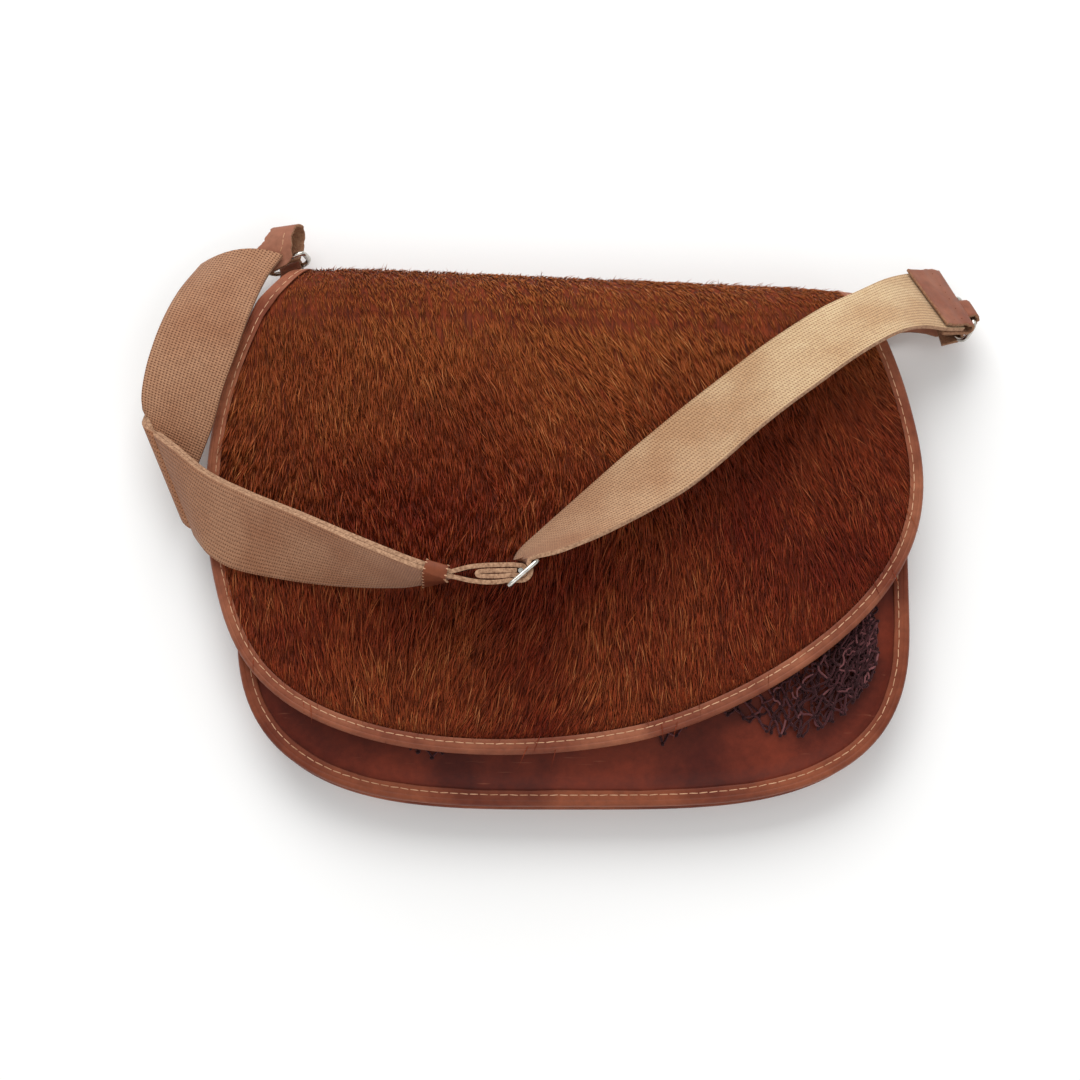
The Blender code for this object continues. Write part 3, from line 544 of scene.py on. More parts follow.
def strands(name, centres, radii, sides, marks, material, pointed=False):
    """Copies of one tube bent along many paths at once. centres holds paths, points and
    x, y, z in millimetres. The UV is the place from root to tip and the path's own mark."""
    count, rings, _ = centres.shape
    template = strand_template(sides, rings, pointed)
    size = len(template.vertices)
    shape = np.empty(size * 3)
    template.vertices.foreach_get("co", shape)
    shape = shape.reshape(-1, 3)
    ring_of = np.rint((shape[:, 2] + 0.5) * (rings - 1)).astype(int)
    shape[:, :2] /= np.maximum(1e-6, np.linalg.norm(shape[:, :2], axis=1))[:, None]
    totals = np.empty(len(template.polygons), dtype=int)
    template.polygons.foreach_get("loop_total", totals)
    corners = np.empty(len(template.loops), dtype=int)
    template.loops.foreach_get("vertex_index", corners)
    bpy.data.meshes.remove(template)

    along = np.gradient(centres, axis=1)
    along /= np.linalg.norm(along, axis=2, keepdims=True) + 1e-12
    first = np.cross(along, np.array([0.0, 0.0, 1.0]))
    lengths = np.linalg.norm(first, axis=2, keepdims=True)
    first = np.where(lengths > 1e-6, first / (lengths + 1e-12), np.array([1.0, 0.0, 0.0]))
    second = np.cross(along, first)
    around = first[:, ring_of] * shape[:, :1] + second[:, ring_of] * shape[:, 1:2]
    places = centres[:, ring_of] + radii[:, ring_of, None] * around
    loops = (corners[None] + np.arange(count)[:, None] * size).ravel()
    all_totals = np.tile(totals, count)
    data = bpy.data.meshes.new(name)
    data.vertices.add(count * size)
    data.vertices.foreach_set("co", (places * MM).ravel())
    data.loops.add(len(loops))
    data.loops.foreach_set("vertex_index", loops)
    data.polygons.add(len(all_totals))
    data.polygons.foreach_set("loop_start", np.concatenate([[0], np.cumsum(all_totals)[:-1]]))
    data.polygons.foreach_set("loop_total", all_totals)
    data.update(calc_edges=True)
    uv = np.stack([np.tile(ring_of[corners] / (rings - 1), count),
                   np.repeat(marks, len(corners))], axis=1)
    data.uv_layers.new(name="UVMap").data.foreach_set("uv", uv.ravel())
    data.materials.append(material)
    data.shade_smooth()
    return put_in_scene(name, data)


def hold(item, slot, *nodes):
    """The piece rides on the bag and stands for its CAD nodes, which it hides; its slot is not
    used.
    """
    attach(item, "root")
    if nodes:
        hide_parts(*nodes)
    return item


# Materials

# A colour mix node: input 0 is its factor, 6 and 7 are its colours, and output 2 is its result
MULTIPLY = {"data_type": "RGBA", "blend_type": "MULTIPLY"}
OVERLAY = {"data_type": "RGBA", "blend_type": "OVERLAY"}
SCREEN = {"data_type": "RGBA", "blend_type": "SCREEN"}


def node(tree, kind, values, output=0):
    """Adds one shader node and returns one of its outputs. Each value is a setting, colour
    stops, an input's number or colour, or another node's output that is wired to the input."""
    made = tree.nodes.new("ShaderNode" + kind)
    for key, value in values.items():
        if isinstance(value, bpy.types.NodeSocket):
            tree.links.new(value, made.inputs[key])
        elif key == "stops":
            while len(made.color_ramp.elements) < len(value):
                made.color_ramp.elements.new(0.5)
            for element, (position, tone) in zip(made.color_ramp.elements, value):
                element.position = position
                element.color = tone
        elif isinstance(key, int) or key in made.inputs:
            made.inputs[key].default_value = value
        else:
            setattr(made, key, value)
    return made.outputs[output]


def start_material(name, **values):
    """A new material with its shader's sockets set, and the point's place on the piece."""
    material = bpy.data.materials.new(name)
    material.use_nodes = True
    tree = material.node_tree
    for key, value in values.items():
        tree.nodes["Principled BSDF"].inputs[key.replace("_", " ")].default_value = value
    return material, tree, node(tree, "TexCoord", {}, "Object")


def wired(material, **sources):
    """The material, with its shader's sockets fed by other nodes' outputs."""
    tree = material.node_tree
    for key, source in sources.items():
        tree.links.new(source, tree.nodes["Principled BSDF"].inputs[key.replace("_", " ")])
    return material


def grey(value):
    return (value, value, value, 1.0)


def waxed_leather(name, base, worn, roughness, scuffs):
    """Vegetable tanned cowhide, dyed and waxed: cloudy dye, fine pores and dull scuffs."""
    material, tree, place = start_material(name, Roughness=roughness, Coat_Weight=0.03,
                                           Specular_IOR_Level=0.15, Coat_Roughness=0.3)
    # Clouds of dye about 45 mm across
    clouds = node(tree, "TexNoise", {"Vector": place, "Scale": 1 / (45 * MM), "Detail": 4.0})
    cloudy = node(tree, "ValToRGB", {"Fac": clouds, "stops": [(0.36, worn), (0.62, base)]})
    # Mottling about 5 mm across
    fine = node(tree, "TexNoise", {"Vector": place, "Scale": 1 / (5 * MM), "Detail": 5.0,
                                   "Roughness": 0.65})
    mottle = node(tree, "ValToRGB", {"Fac": fine, "stops": [(0.3, grey(0.36)),
                                                            (0.7, grey(0.64))]})
    dyed = node(tree, "Mix", {**OVERLAY, 0: 0.6, 6: cloudy, 7: mottle}, 2)
    # Scratches up to 30 mm long and 1 mm wide, slightly aslant
    laid = node(tree, "Mapping", {"Vector": place, "Rotation": (0.0, 0.0, 0.35),
                                  "Scale": (33.0, 700.0, 400.0)})
    lines = node(tree, "TexNoise", {"Vector": laid, "Scale": 1.0, "Detail": 2.0})
    scratched = node(tree, "ValToRGB", {"Fac": lines, "stops": [(0.7, grey(0)),
                                                                (0.76, grey(scuffs))]})
    marked = node(tree, "Mix", {**SCREEN, 0: scratched, 6: dyed, 7: linear("#8a5a44")}, 2)
    gloss = node(tree, "MapRange", {"Value": fine, "To Min": roughness - 0.08,
                                    "To Max": roughness + 0.16})
    # Pores 0.9 mm apart over soft swells of 12 mm catch the light as a fine grain
    swells = node(tree, "TexNoise", {"Vector": place, "Scale": 1 / (12 * MM), "Detail": 3.0})
    pores = node(tree, "TexVoronoi", {"Vector": place, "Scale": 1 / (0.9 * MM)})
    low = node(tree, "Bump", {"Height": swells, "Strength": 0.35, "Distance": 0.4 * MM})
    grain = node(tree, "Bump", {"Height": pores, "Strength": 0.4, "Distance": 0.08 * MM,
                                "Normal": low})
    return wired(material, Base_Color=marked, Roughness=gloss, Normal=grain)


def flesh_side():
    """Split side and cut edges of leather: felted, pale brown and dull, so edges read raw."""
    material, tree, place = start_material("raw_leather_edge", Roughness=0.9,
                                           Specular_IOR_Level=0.2)
    # Felted fibres about 1.5 mm across
    fibres = node(tree, "TexNoise", {"Vector": place, "Scale": 1 / (1.5 * MM), "Detail": 6.0,
                                     "Roughness": 0.75})
    tone = node(tree, "ValToRGB", {"Fac": fibres, "stops": [(0.3, linear("#6d4332")),
                                                            (0.75, linear("#b28867"))]})
    rough = node(tree, "Bump", {"Height": fibres, "Strength": 0.7, "Distance": 0.4 * MM})
    return wired(material, Base_Color=tone, Normal=rough)


def waxed_thread():
    """Waxed linen thread: pale and matt dashes along each rim, a little soiled."""
    material, tree, place = start_material("waxed_linen_thread", Roughness=0.7,
                                           Specular_IOR_Level=0.3)
    # Soiling in patches of about 9 mm
    soil = node(tree, "TexNoise", {"Vector": place, "Scale": 1 / (9 * MM), "Detail": 3.0})
    tone = node(tree, "ValToRGB", {"Fac": soil, "stops": [
        (0.3, linear("#b0805f")), (0.6, tuple(settings("colours").thread))]})
    # The ply's twist shows every 0.9 mm
    ply = node(tree, "TexWave", {"Vector": place, "Scale": 1 / (0.9 * MM) / 6.28,
                                 "Distortion": 1.0}, "Fac")
    twist = node(tree, "Bump", {"Height": ply, "Strength": 0.6, "Distance": 0.12 * MM})
    return wired(material, Base_Color=tone, Normal=twist)


def hide_skin():
    """Skin of a cowhide under its hair, streaked the way the hair lies, with painted shade:
    nearly black in its furrows, the gaps between the hairs.
    """
    material, tree, place = start_material("cowhide_hair_side", Roughness=0.8,
                                           Specular_IOR_Level=0.2)
    colours = settings("colours")
    # Streaks 2 mm wide and 16 mm long
    laid = node(tree, "Mapping", {"Vector": place, "Rotation": (0.0, 0.0, 0.25),
                                  "Scale": (500.0, 62.0, 500.0)})
    streaks = node(tree, "TexNoise", {"Vector": laid, "Scale": 1.0, "Detail": 5.0,
                                      "Roughness": 0.7})
    # Painted shade: the furrows, low in the same streaks that the bump uses, are nearly black
    tone = node(tree, "ValToRGB", {"Fac": streaks, "stops": [
        (0.35, tuple(colours.hair_dark)), (0.8, tuple(colours.hair))]})
    furrows = node(tree, "Bump", {"Height": streaks, "Strength": 0.8, "Distance": 1.2 * MM})
    return wired(material, Base_Color=tone, Normal=furrows)


def cow_hair():
    """Cow hair: rust red strands over dark ones, golden near the top edge, softly glossy."""
    material, tree, place = start_material("cow_hair", Roughness=0.5, Specular_IOR_Level=0.22)
    colours = settings("colours")
    uv = node(tree, "UVMap", {"uv_map": "UVMap"})
    mark = node(tree, "SeparateXYZ", {"Vector": uv}, "Y")
    own = node(tree, "ValToRGB", {"Fac": mark, "stops": [
        (0.0, linear("#65260f")), (0.3, linear("#823a18")), (0.6, tuple(colours.hair)),
        (0.86, linear("#ae6230")), (1.0, tuple(colours.hair_light))]})
    # Darker and redder fields about 80 mm across
    fields = node(tree, "TexNoise", {"Vector": place, "Scale": 1 / (80 * MM), "Detail": 3.0})
    share = node(tree, "ValToRGB", {"Fac": fields, "stops": [(0.4, grey(0.8)),
                                                             (0.62, grey(0))]})
    fielded = node(tree, "Mix", {**MULTIPLY, 0: share, 6: own, 7: linear("#c9806a")}, 2)
    # The hair is lighter and more golden towards the hide's top edge, and darker red at its lower
    # right
    upwards = node(tree, "SeparateXYZ", {"Vector": place}, "Y")
    up = node(tree, "MapRange", {"Value": upwards, "From Min": 0.0, "From Max": 0.14,
                                 "To Max": 0.75})
    lighter_top = node(tree, "Mix", {**SCREEN, 0: up, 6: fielded, 7: linear("#6c461a")}, 2)
    right = node(tree, "MapRange", {"Value": upwards.node.outputs["X"], "From Min": 0.02,
                                    "From Max": 0.15, "To Max": 0.7})
    lower = node(tree, "MapRange", {"Value": upwards, "From Min": 0.11, "From Max": 0.05})
    corner = node(tree, "Math", {"operation": "MULTIPLY", 0: right, 1: lower})
    reddened = node(tree, "Mix", {**MULTIPLY, 0: corner, 6: lighter_top, 7: linear("#cf8f84")}, 2)
    # Each hair is darker towards its root: painted shade down in the coat
    root = node(tree, "ValToRGB", {"Fac": mark.node.outputs["X"], "stops": [(0.0, grey(1)),
                                                                            (0.5, grey(0))]})
    root_shaded = node(tree, "Mix", {**MULTIPLY, 0: root, 6: reddened, 7: linear("#8c5238")}, 2)
    return wired(material, Base_Color=root_shaded)


def dyed_cord():
    """Laid cotton cord dyed burgundy: matt and fluffy, so its edges look lighter."""
    material, tree, place = start_material("dyed_cotton_cord", Roughness=0.85,
                                           Specular_IOR_Level=0.2, Sheen_Weight=0.3,
                                           Sheen_Roughness=0.4, Sheen_Tint=linear("#c99a9a"))
    uv = node(tree, "UVMap", {"uv_map": "UVMap"})
    mark = node(tree, "SeparateXYZ", {"Vector": uv}, "Y")
    # Each cord's tone follows its mark, which varies at random; the lower layer's lower marks
    # paint shade under the upper layer
    own = node(tree, "ValToRGB", {"Fac": mark, "stops": [
        (0.0, linear("#2a1013")), (0.7, tuple(settings("colours").net)),
        (1.0, linear("#7a4a4b"))]})
    # Plies and fluff about 0.9 mm across
    fluff = node(tree, "TexNoise", {"Vector": place, "Scale": 1 / (0.9 * MM), "Detail": 4.0,
                                    "Roughness": 0.7})
    tone = node(tree, "ValToRGB", {"Fac": fluff, "stops": [(0.3, grey(0.3)),
                                                           (0.7, grey(0.7))]})
    mottled = node(tree, "Mix", {**OVERLAY, 0: 0.55, 6: own, 7: tone}, 2)
    plies = node(tree, "Bump", {"Height": fluff, "Strength": 0.9, "Distance": 0.3 * MM})
    return wired(material, Base_Color=mottled, Normal=plies)


def cotton_web(name, light, gap_shade, rib, pick, staggered, tail_wear_and_shade):
    """Woven cotton web: matt ribs along it and picks across it, with painted shade in the gaps
    between them.
    The picks are about 1.0 mm apart in life and are drawn coarser, so that they show."""
    material, tree, place = start_material(name, Roughness=0.9, Specular_IOR_Level=0.2,
                                           Sheen_Weight=0.12, Sheen_Roughness=0.5)
    uv = node(tree, "UVMap", {"uv_map": "UVMap"})
    lengthwise = node(tree, "SeparateXYZ", {"Vector": uv}, "Y")
    # The ribs drift a little over about 20 mm
    drift = node(tree, "TexNoise", {"Vector": place, "Scale": 1 / (20 * MM), "Detail": 2.0})
    across = node(tree, "Math", {"operation": "MULTIPLY", 0: lengthwise.node.outputs["X"],
                                 1: 2 * math.pi / rib})
    shaken = node(tree, "Math", {"operation": "MULTIPLY_ADD", 0: drift, 1: 2.0, 2: across})
    ribs = node(tree, "Math", {"operation": "COSINE", 0: shaken})
    along = node(tree, "Math", {"operation": "MULTIPLY", 0: lengthwise, 1: 2 * math.pi / pick})
    slant = node(tree, "Math", {"operation": "MULTIPLY_ADD", 0: shaken,
                                1: 0.5 if staggered else 0.0, 2: along})
    picks = node(tree, "Math", {"operation": "COSINE", 0: slant})
    woven = node(tree, "Math", {"operation": "MULTIPLY_ADD", 0: picks,
                                1: 1.3 if staggered else 0.9, 2: ribs})
    height = node(tree, "MapRange", {"Value": woven, "From Min": -1.9, "From Max": 1.4})
    # The tail up to the slider, about 290 mm along the web, takes the tail colour, fading into
    # the main colour by 520 mm: on the right web this is painted shade on the run that faces away
    # from the light; on the left web both colours are its own browned tone
    share = node(tree, "MapRange", {"Value": lengthwise, "From Min": 285.0, "From Max": 520.0})
    base = node(tree, "Mix", {"data_type": "RGBA", 0: share, 6: tuple(tail_wear_and_shade),
                              7: tuple(light)}, 2)
    # Painted shade: where the weave is low, between ribs and picks, it takes the darker gap
    # colour
    thread = node(tree, "ValToRGB", {"Fac": height, "stops": [(0.0, gap_shade), (0.5, grey(1))]})
    cloth = node(tree, "Mix", {**MULTIPLY, 0: 1.0, 6: base, 7: thread}, 2)
    # Soiling in patches of about 35 mm
    soil = node(tree, "TexNoise", {"Vector": place, "Scale": 1 / (35 * MM), "Detail": 4.0})
    share = node(tree, "ValToRGB", {"Fac": soil, "stops": [(0.38, grey(0.45)),
                                                           (0.64, grey(0))]})
    soiled = node(tree, "Mix", {**MULTIPLY, 0: share, 6: cloth, 7: linear("#d0aa8c")}, 2)
    # Flecks of lint about 1 mm across
    lint = node(tree, "TexNoise", {"Vector": place, "Scale": 1 / (1.1 * MM), "Detail": 3.0})
    tone = node(tree, "ValToRGB", {"Fac": lint, "stops": [(0.3, grey(0.32)),
                                                          (0.72, grey(0.68))]})
    flecked = node(tree, "Mix", {**OVERLAY, 0: 0.6, 6: soiled, 7: tone}, 2)
    weave = node(tree, "Bump", {"Height": height, "Strength": 0.9, "Distance": 0.35 * MM})
    return wired(material, Base_Color=flecked, Normal=weave)


def selvedge():
    """The web's woven edges: the same cotton without ribs, so edges read as plain pale lines."""
    material, tree, place = start_material("cotton_selvedge", Roughness=0.9,
                                           Specular_IOR_Level=0.2)
    # Turned picks about 1.3 mm across
    turns = node(tree, "TexNoise", {"Vector": place, "Scale": 1 / (1.3 * MM), "Detail": 3.0})
    tone = node(tree, "ValToRGB", {"Fac": turns, "stops": [(0.3, linear("#84614a")),
                                                           (0.65, linear("#ba9274"))]})
    raised = node(tree, "Bump", {"Height": turns, "Strength": 0.7, "Distance": 0.3 * MM})
    return wired(material, Base_Color=tone, Normal=raised)


def nickel_plate():
    """Steel wire, nickel plated and polished: bright lines with light rubbing."""
    material, tree, place = start_material("nickel_plated_steel", Roughness=0.18, Metallic=1.0)
    # Rubbed spots about 2.5 mm across
    rubs = node(tree, "TexNoise", {"Vector": place, "Scale": 1 / (2.5 * MM), "Detail": 5.0})
    tone = node(tree, "ValToRGB", {"Fac": rubs, "stops": [
        (0.3, linear("#b3aea4")), (0.65, tuple(settings("colours").nickel))]})
    gloss = node(tree, "MapRange", {"Value": rubs, "To Min": 0.1, "To Max": 0.3})
    return wired(material, Base_Color=tone, Roughness=gloss)


def white_paper():
    """Matt white paper sweep: an even pale ground that keeps soft contact shadows."""
    return start_material("matt_white_paper", Roughness=0.95, Specular_IOR_Level=0.1,
                          Base_Color=linear("#f9f9f8"))[0]


def browned_web():
    """The left web: handled and browned cotton, its picks staggered, so it reads darker."""
    tone = settings("colours").web_browned
    # The third colour is painted shade in the weave's gaps
    return cotton_web("browned_cotton_web", tone, linear("#8e7466"), 2.1, 1.5, True, tone)


def clean_web():
    """The right web: pale cotton with plain ribs along it, with painted shade over its tail up to
    the slider that fades out further along.
    """
    # The third colour is painted shade in the weave's gaps
    return cotton_web("cotton_web", settings("colours").web, linear("#a0805f"), 2.5, 1.5,
                      # The last colour is the tail's painted shade
                      False, linear("#a87a5c"))


# Each waxed leather's name, its colour and that of its darker clouds, roughness and scuffs
LEATHERS = {
    "panel": ("waxed_panel_leather", "panel", "panel_worn", 0.4, 0.3),
    "binding": ("folded_binding_leather", "binding", "binding_worn", 0.48, 0.2),
    "rim": ("folded_rim_leather", "rim", "rim_worn", 0.46, 0.2),
    "strap_leather": ("waxed_strap_leather", "strap_leather", "strap_worn", 0.5, 0.2),
    "keeper": ("waxed_keeper_leather", "keeper", "panel_worn", 0.5, 0.2),
}
OTHER_MATERIALS = {
    "thread": waxed_thread, "hide": hide_skin, "flesh": flesh_side, "hair": cow_hair,
    "cord": dyed_cord, "web_left": browned_web, "web_right": clean_web,
    "selvedge": selvedge, "nickel": nickel_plate, "floor": white_paper,
}
FINISHES = {}


def finish_of(key):
    """Each finish is made once, when the first piece asks for it."""
    if key not in FINISHES and key in LEATHERS:
        name, base, worn, roughness, scuffs = LEATHERS[key]
        tones = settings("colours")
        FINISHES[key] = waxed_leather(name, tuple(getattr(tones, base)),
                                      tuple(getattr(tones, worn)), roughness, scuffs)
    elif key not in FINISHES:
        FINISHES[key] = OTHER_MATERIALS[key]()
    return FINISHES[key]


# Body

def body_half_width(y):
    width = BODY_HALF_WIDTH
    for (low, wide), (high, narrow) in zip(SHOULDERS, SHOULDERS[1:]):
        if y > low:
            width = blend(wide, narrow, min(1.0, (y - low) / (high - low)))
    return width


def body_outline(top):
    """Left side from the top down, round the bottom and up the right side."""
    steps = 480
    depth = BODY_WAIST_Y - BODY_BOTTOM_Y
    side = []
    for step in range(80):
        y = blend(top, BODY_WAIST_Y, step / 80)
        side.append((body_half_width(y), y))
    half = []
    for step in range(steps + 1):
        angle = math.pi / 2 * step / steps
        x = BODY_HALF_WIDTH * math.cos(angle) ** (2 / BODY_SIDE_POWER)
        y = BODY_WAIST_Y - depth * math.sin(angle) ** (2 / BODY_BOTTOM_POWER)
        half.append((x, y))
    right = side + half
    return [(-x, y) for x, y in right] + [(x, y) for x, y in reversed(right[:-1])]


def body_rim(top, count=150):
    rim = evenly_spaced(body_outline(top), count)
    rim[0] = (rim[0][0], Vector((1.0, 0.0)))
    rim[-1] = (rim[-1][0], Vector((-1.0, 0.0)))
    return rim


def body_depth_ratio(x, y):
    """0 in the middle of the front and 1 at its rim."""
    across = abs(x) / body_half_width(y)
    below = max(0.0, BODY_WAIST_Y - y) / (BODY_WAIST_Y - BODY_BOTTOM_Y)
    return min(1.0, (across ** BODY_SIDE_POWER + below ** BODY_BOTTOM_POWER) ** (1 / 3))


def front_height(x, y):
    """Height of the puffed front, with the soft dents of laid leather."""
    ratio = body_depth_ratio(x, y)
    dents = 0.55 * waves(x, y, 62.0) * (1 - ratio ** 4)
    return FRONT_RIM_Z + FRONT_PUFF * (1 - ratio * ratio) + dents


def fill_to_line(rim, inset, y, shares):
    """Rows from the inset rim to a straight line across at y."""
    last = len(rim) - 1
    corner = rim[-1][0].x - inset
    rows = []
    for share in shares:
        row = []
        for index, station in enumerate(rim):
            start = inset_point(station, inset)
            x = blend(start.x, blend(-corner, corner, index / last), share)
            row.append((x, blend(start.y, y, share)))
        rows.append(row)
    return rows


class GAMEBAG_OT_body(bpy.types.Operator):
    """Makes the back, the folded side strip and the puffed front"""
    bl_idname = "gamebag.body"
    bl_label = "Body"

    def execute(self, context):
        sizes = settings("leather")
        panel = sizes.panel_thickness / MM
        rim = body_rim(BACK_TOP_Y)
        sections = []
        for inset, z in ((EDGE_SETBACK, BACK_RIM_Z), (6.0, BACK_RIM_Z), (10.0, BACK_RIM_Z - 0.1),
                         (12.5, 1.9), (15.0, 1.15), (17.5, BACK_FLAT_Z)):
            points = [inset_point(station, inset) for station in rim]
            sections.append([(p.x, p.y, z) for p in points])
        for row in fill_to_line(rim, 17.5, BACK_TOP_Y, (0.1, 0.25, 0.4, 0.6, 0.8, 1.0)):
            sections.append([(x, y, BACK_FLAT_Z) for x, y in row])
        hold(sheet("back", [sections], panel, [finish_of("panel")], 0.35), "panel_leather",
             "back_panel")

        rim = body_rim(MOUTH_Y)
        sections = []
        for inset in (EDGE_SETBACK, 6.0, 9.5, GROOVE_INSET, 12.0, 14.0):
            row = []
            for station in rim:
                p = inset_point(station, inset)
                lift = max(0.0, front_height(p.x, p.y) - FRONT_RIM_Z)
                # A groove runs along the binding's lip
                groove = 0.4 * math.exp(-((inset - GROOVE_INSET) / 0.9) ** 2)
                z = FRONT_RIM_Z + lift * smoothstep((inset - 7) / 9) - groove
                row.append((p.x, p.y, z))
            sections.append(row)
        shares = (0.02, 0.05, 0.1, 0.17, 0.25, 0.36, 0.48, 0.62, 0.78, 0.9, 1.0)
        for row in fill_to_line(rim, 14.0, MOUTH_Y, shares):
            sections.append([(x, y, front_height(x, y)) for x, y in row])
        front = sheet("front", [sections], panel, [finish_of("panel"), finish_of("flesh")], 0.35)
        hold(front, "panel_leather", "front_panel")

        low, high = BACK_RIM_Z + GUSSET_OFFSET, FRONT_RIM_Z - GUSSET_OFFSET
        middle = (low + high) / 2
        profile = [(EDGE_SETBACK, low), (7.5, low), (9.4, low + 0.3), (11.2, low + 2.2),
                   (14.0, low + 6.0), (16.2, middle - 2.4), (GUSSET_FOLD, middle),
                   (16.2, middle + 2.4), (14.0, high - 6.0), (11.2, high - 2.2),
                   (9.4, high - 0.3), (7.5, high), (EDGE_SETBACK, high)]
        sections = []
        for station in rim:
            points = [(inset_point(station, inset), z) for inset, z in profile]
            sections.append([(p.x, p.y, z) for p, z in points])
        gusset = sheet("side_strip", [sections], sizes.gusset_thickness / MM,
                       [finish_of("panel")], 0.3)
        hold(gusset, "panel_leather", "gusset")
        return {"FINISHED"}


def folded_profile(low, high, width):
    """Inset and height of a folded strip, from its upper lip round to its lower lip. The
    stitches pull a shallow furrow between the lip and the rim, and a crease runs outside it."""
    profile = [(width, high - 0.25), (width - 0.9, high + 0.02), (width - 1.8, high - 0.12),
               (width - 2.7, high - 0.24), (width - 3.7, high - 0.06), (width - 4.9, high),
               (width - 5.5, high - 0.3), (width - 6.1, high - 0.02)]
    radius = (high - low) / 2
    reach = min(radius, 1.7)
    for step in range(11):
        angle = math.pi / 2 + math.pi * step / 10
        profile.append((reach * (1 + math.cos(angle)) + 0.5,
                        (high + low) / 2 + radius * math.sin(angle)))
    return profile + [(width - 4.9, low), (width - 2.8, low), (width - 0.8, low)]


def make_rim_binding(name, low, high, node_name):
    sizes = settings("leather")
    thickness = sizes.binding_thickness / MM
    over, under = high + LAYER_GAP + thickness / 2, low - LAYER_GAP - thickness / 2
    rim = body_rim(BINDING_TOP_Y, 180)
    sections = []
    for index, station in enumerate(rim):
        uneven = 0.16 * math.sin(index * 0.37) + 0.1 * math.sin(index * 0.93 + 1.0)
        points = [(inset_point(station, inset + (uneven if inset > 4 else 0.0)), z)
                  for inset, z in folded_profile(under, over, sizes.binding_width / MM)]
        sections.append([(p.x, p.y, z) for p, z in points])
    strip = sheet(name, [sections], thickness, [finish_of("rim")], 0.3)
    hold(strip, "binding_leather", node_name)
    pitch = sizes.stitch_pitch / MM
    template = stitch_template(pitch * 0.96, sizes.thread / MM)
    line = [inset_point(station, sizes.stitch_inset / MM) for station in rim]
    places = []
    for z, up in ((over + thickness / 2 - 0.2, 1.0), (under - thickness / 2, -1.0)):
        places += stitch_places([(p.x, p.y, z) for p in line], [(0, 0, up)] * len(line), pitch)
    stitches = repeated(name + "_stitches", template, places, [finish_of("thread")])
    hold(stitches, "binding_leather")


class GAMEBAG_OT_rims(bpy.types.Operator):
    """Folds leather strips round the rims of back and front and stitches them down"""
    bl_idname = "gamebag.rims"
    bl_label = "Rim bindings"

    def execute(self, context):
        stack = PANEL_HALF + LAYER_GAP + GUSSET_WALL
        make_rim_binding("back_rim", BACK_RIM_Z - PANEL_HALF, BACK_RIM_Z + stack,
                         "back_binding")
        make_rim_binding("front_rim", FRONT_RIM_Z - stack, FRONT_RIM_Z + PANEL_HALF,
                         "front_binding")
        return {"FINISHED"}


# Flap

def hinge_line(x):
    return HINGE_Y + HINGE_SLOPE * x


def flap_height(x):
    left = max(0.0, (-x - LEFT_DROOP_START) / LEFT_DROOP_RUN)
    right = max(0.0, (x - RIGHT_DROOP_START) / RIGHT_DROOP_RUN)
    return FLAP_Z - LEFT_DROOP * left * left - RIGHT_DROOP * right * right


def flap_spread(x):
    slope = (flap_height(x + 1) - flap_height(x - 1)) / 2
    return math.sqrt(1 + slope * slope)


def flap_flat(x, below, lift=0.0):
    y = hinge_line(x) - below
    return (x, y, flap_height(x) + 0.45 * waves(x, y, 55.0, 2.0) + lift * flap_spread(x))


def flap_roll(x, angle, lift=0.0):
    radius = (flap_height(x) - SEAM_Z) / 2
    turn = math.radians(angle)
    dent = 0.45 * waves(x, hinge_line(x), 55.0, 2.0) * max(0.0, math.cos(turn))
    reach = radius + lift * flap_spread(x) + dent
    return (x, hinge_line(x) + reach * math.sin(turn), SEAM_Z + radius + reach * math.cos(turn))


def flap_outline():
    steps = 1440
    points = []
    for step in range(steps + 1):
        angle = math.pi / 2 + 2 * math.pi * step / steps
        cosine, sine = math.cos(angle), math.sin(angle)
        across = FLAP_LEFT if cosine < 0 else FLAP_RIGHT
        rise, power = (FLAP_DEPTH, FLAP_BOTTOM_POWER) if sine < 0 else (FLAP_RISE, 2.0)
        u = math.copysign(across * abs(cosine) ** (2 / FLAP_SIDE_POWER), cosine)
        v = math.copysign(rise * abs(sine) ** (2 / power), sine)
        x = FLAP_CENTRE[0] + u * math.cos(FLAP_TURN) - v * math.sin(FLAP_TURN)
        y = FLAP_CENTRE[1] + u * math.sin(FLAP_TURN) + v * math.cos(FLAP_TURN)
        if y < hinge_line(x):
            points.append((x, y - hinge_line(x)))
    points[0] = (points[0][0], 0.0)
    points[-1] = (points[-1][0], 0.0)
    return points


def hinge_inset(inset):
    """The edge meets the hinge line aslant, so a band of it is wider along that line."""
    return inset * 1.35


def flap_row(stations, inset):
    row = [inset_point(station, inset) for station in stations]
    row[0] = Vector((stations[0][0].x + hinge_inset(inset), 0.0))
    row[-1] = Vector((stations[-1][0].x - hinge_inset(inset), 0.0))
    return row


def roll_side(corner, tuck, turned):
    """The edge's x where the flap has rolled by so many quarter turns. It runs on smoothly
    from the front."""
    bent = 0.55 * turned + 0.87 * turned * turned / (turned + 0.15)
    return corner + tuck * (1 - np.exp(-bent))


def roll_columns(left, right, angle):
    a = roll_side(left, ROLL_LEFT_TUCK, angle / 90)
    b = roll_side(right, -ROLL_RIGHT_TUCK, angle / 90)
    edge, lip = hinge_inset(HIDE_EDGE), hinge_inset(HIDE_LIP)
    inner = [blend(a + lip, b - lip, index / FLAP_STATIONS) for index in range(FLAP_STATIONS + 1)]
    return [a + edge] + inner + [b - edge]


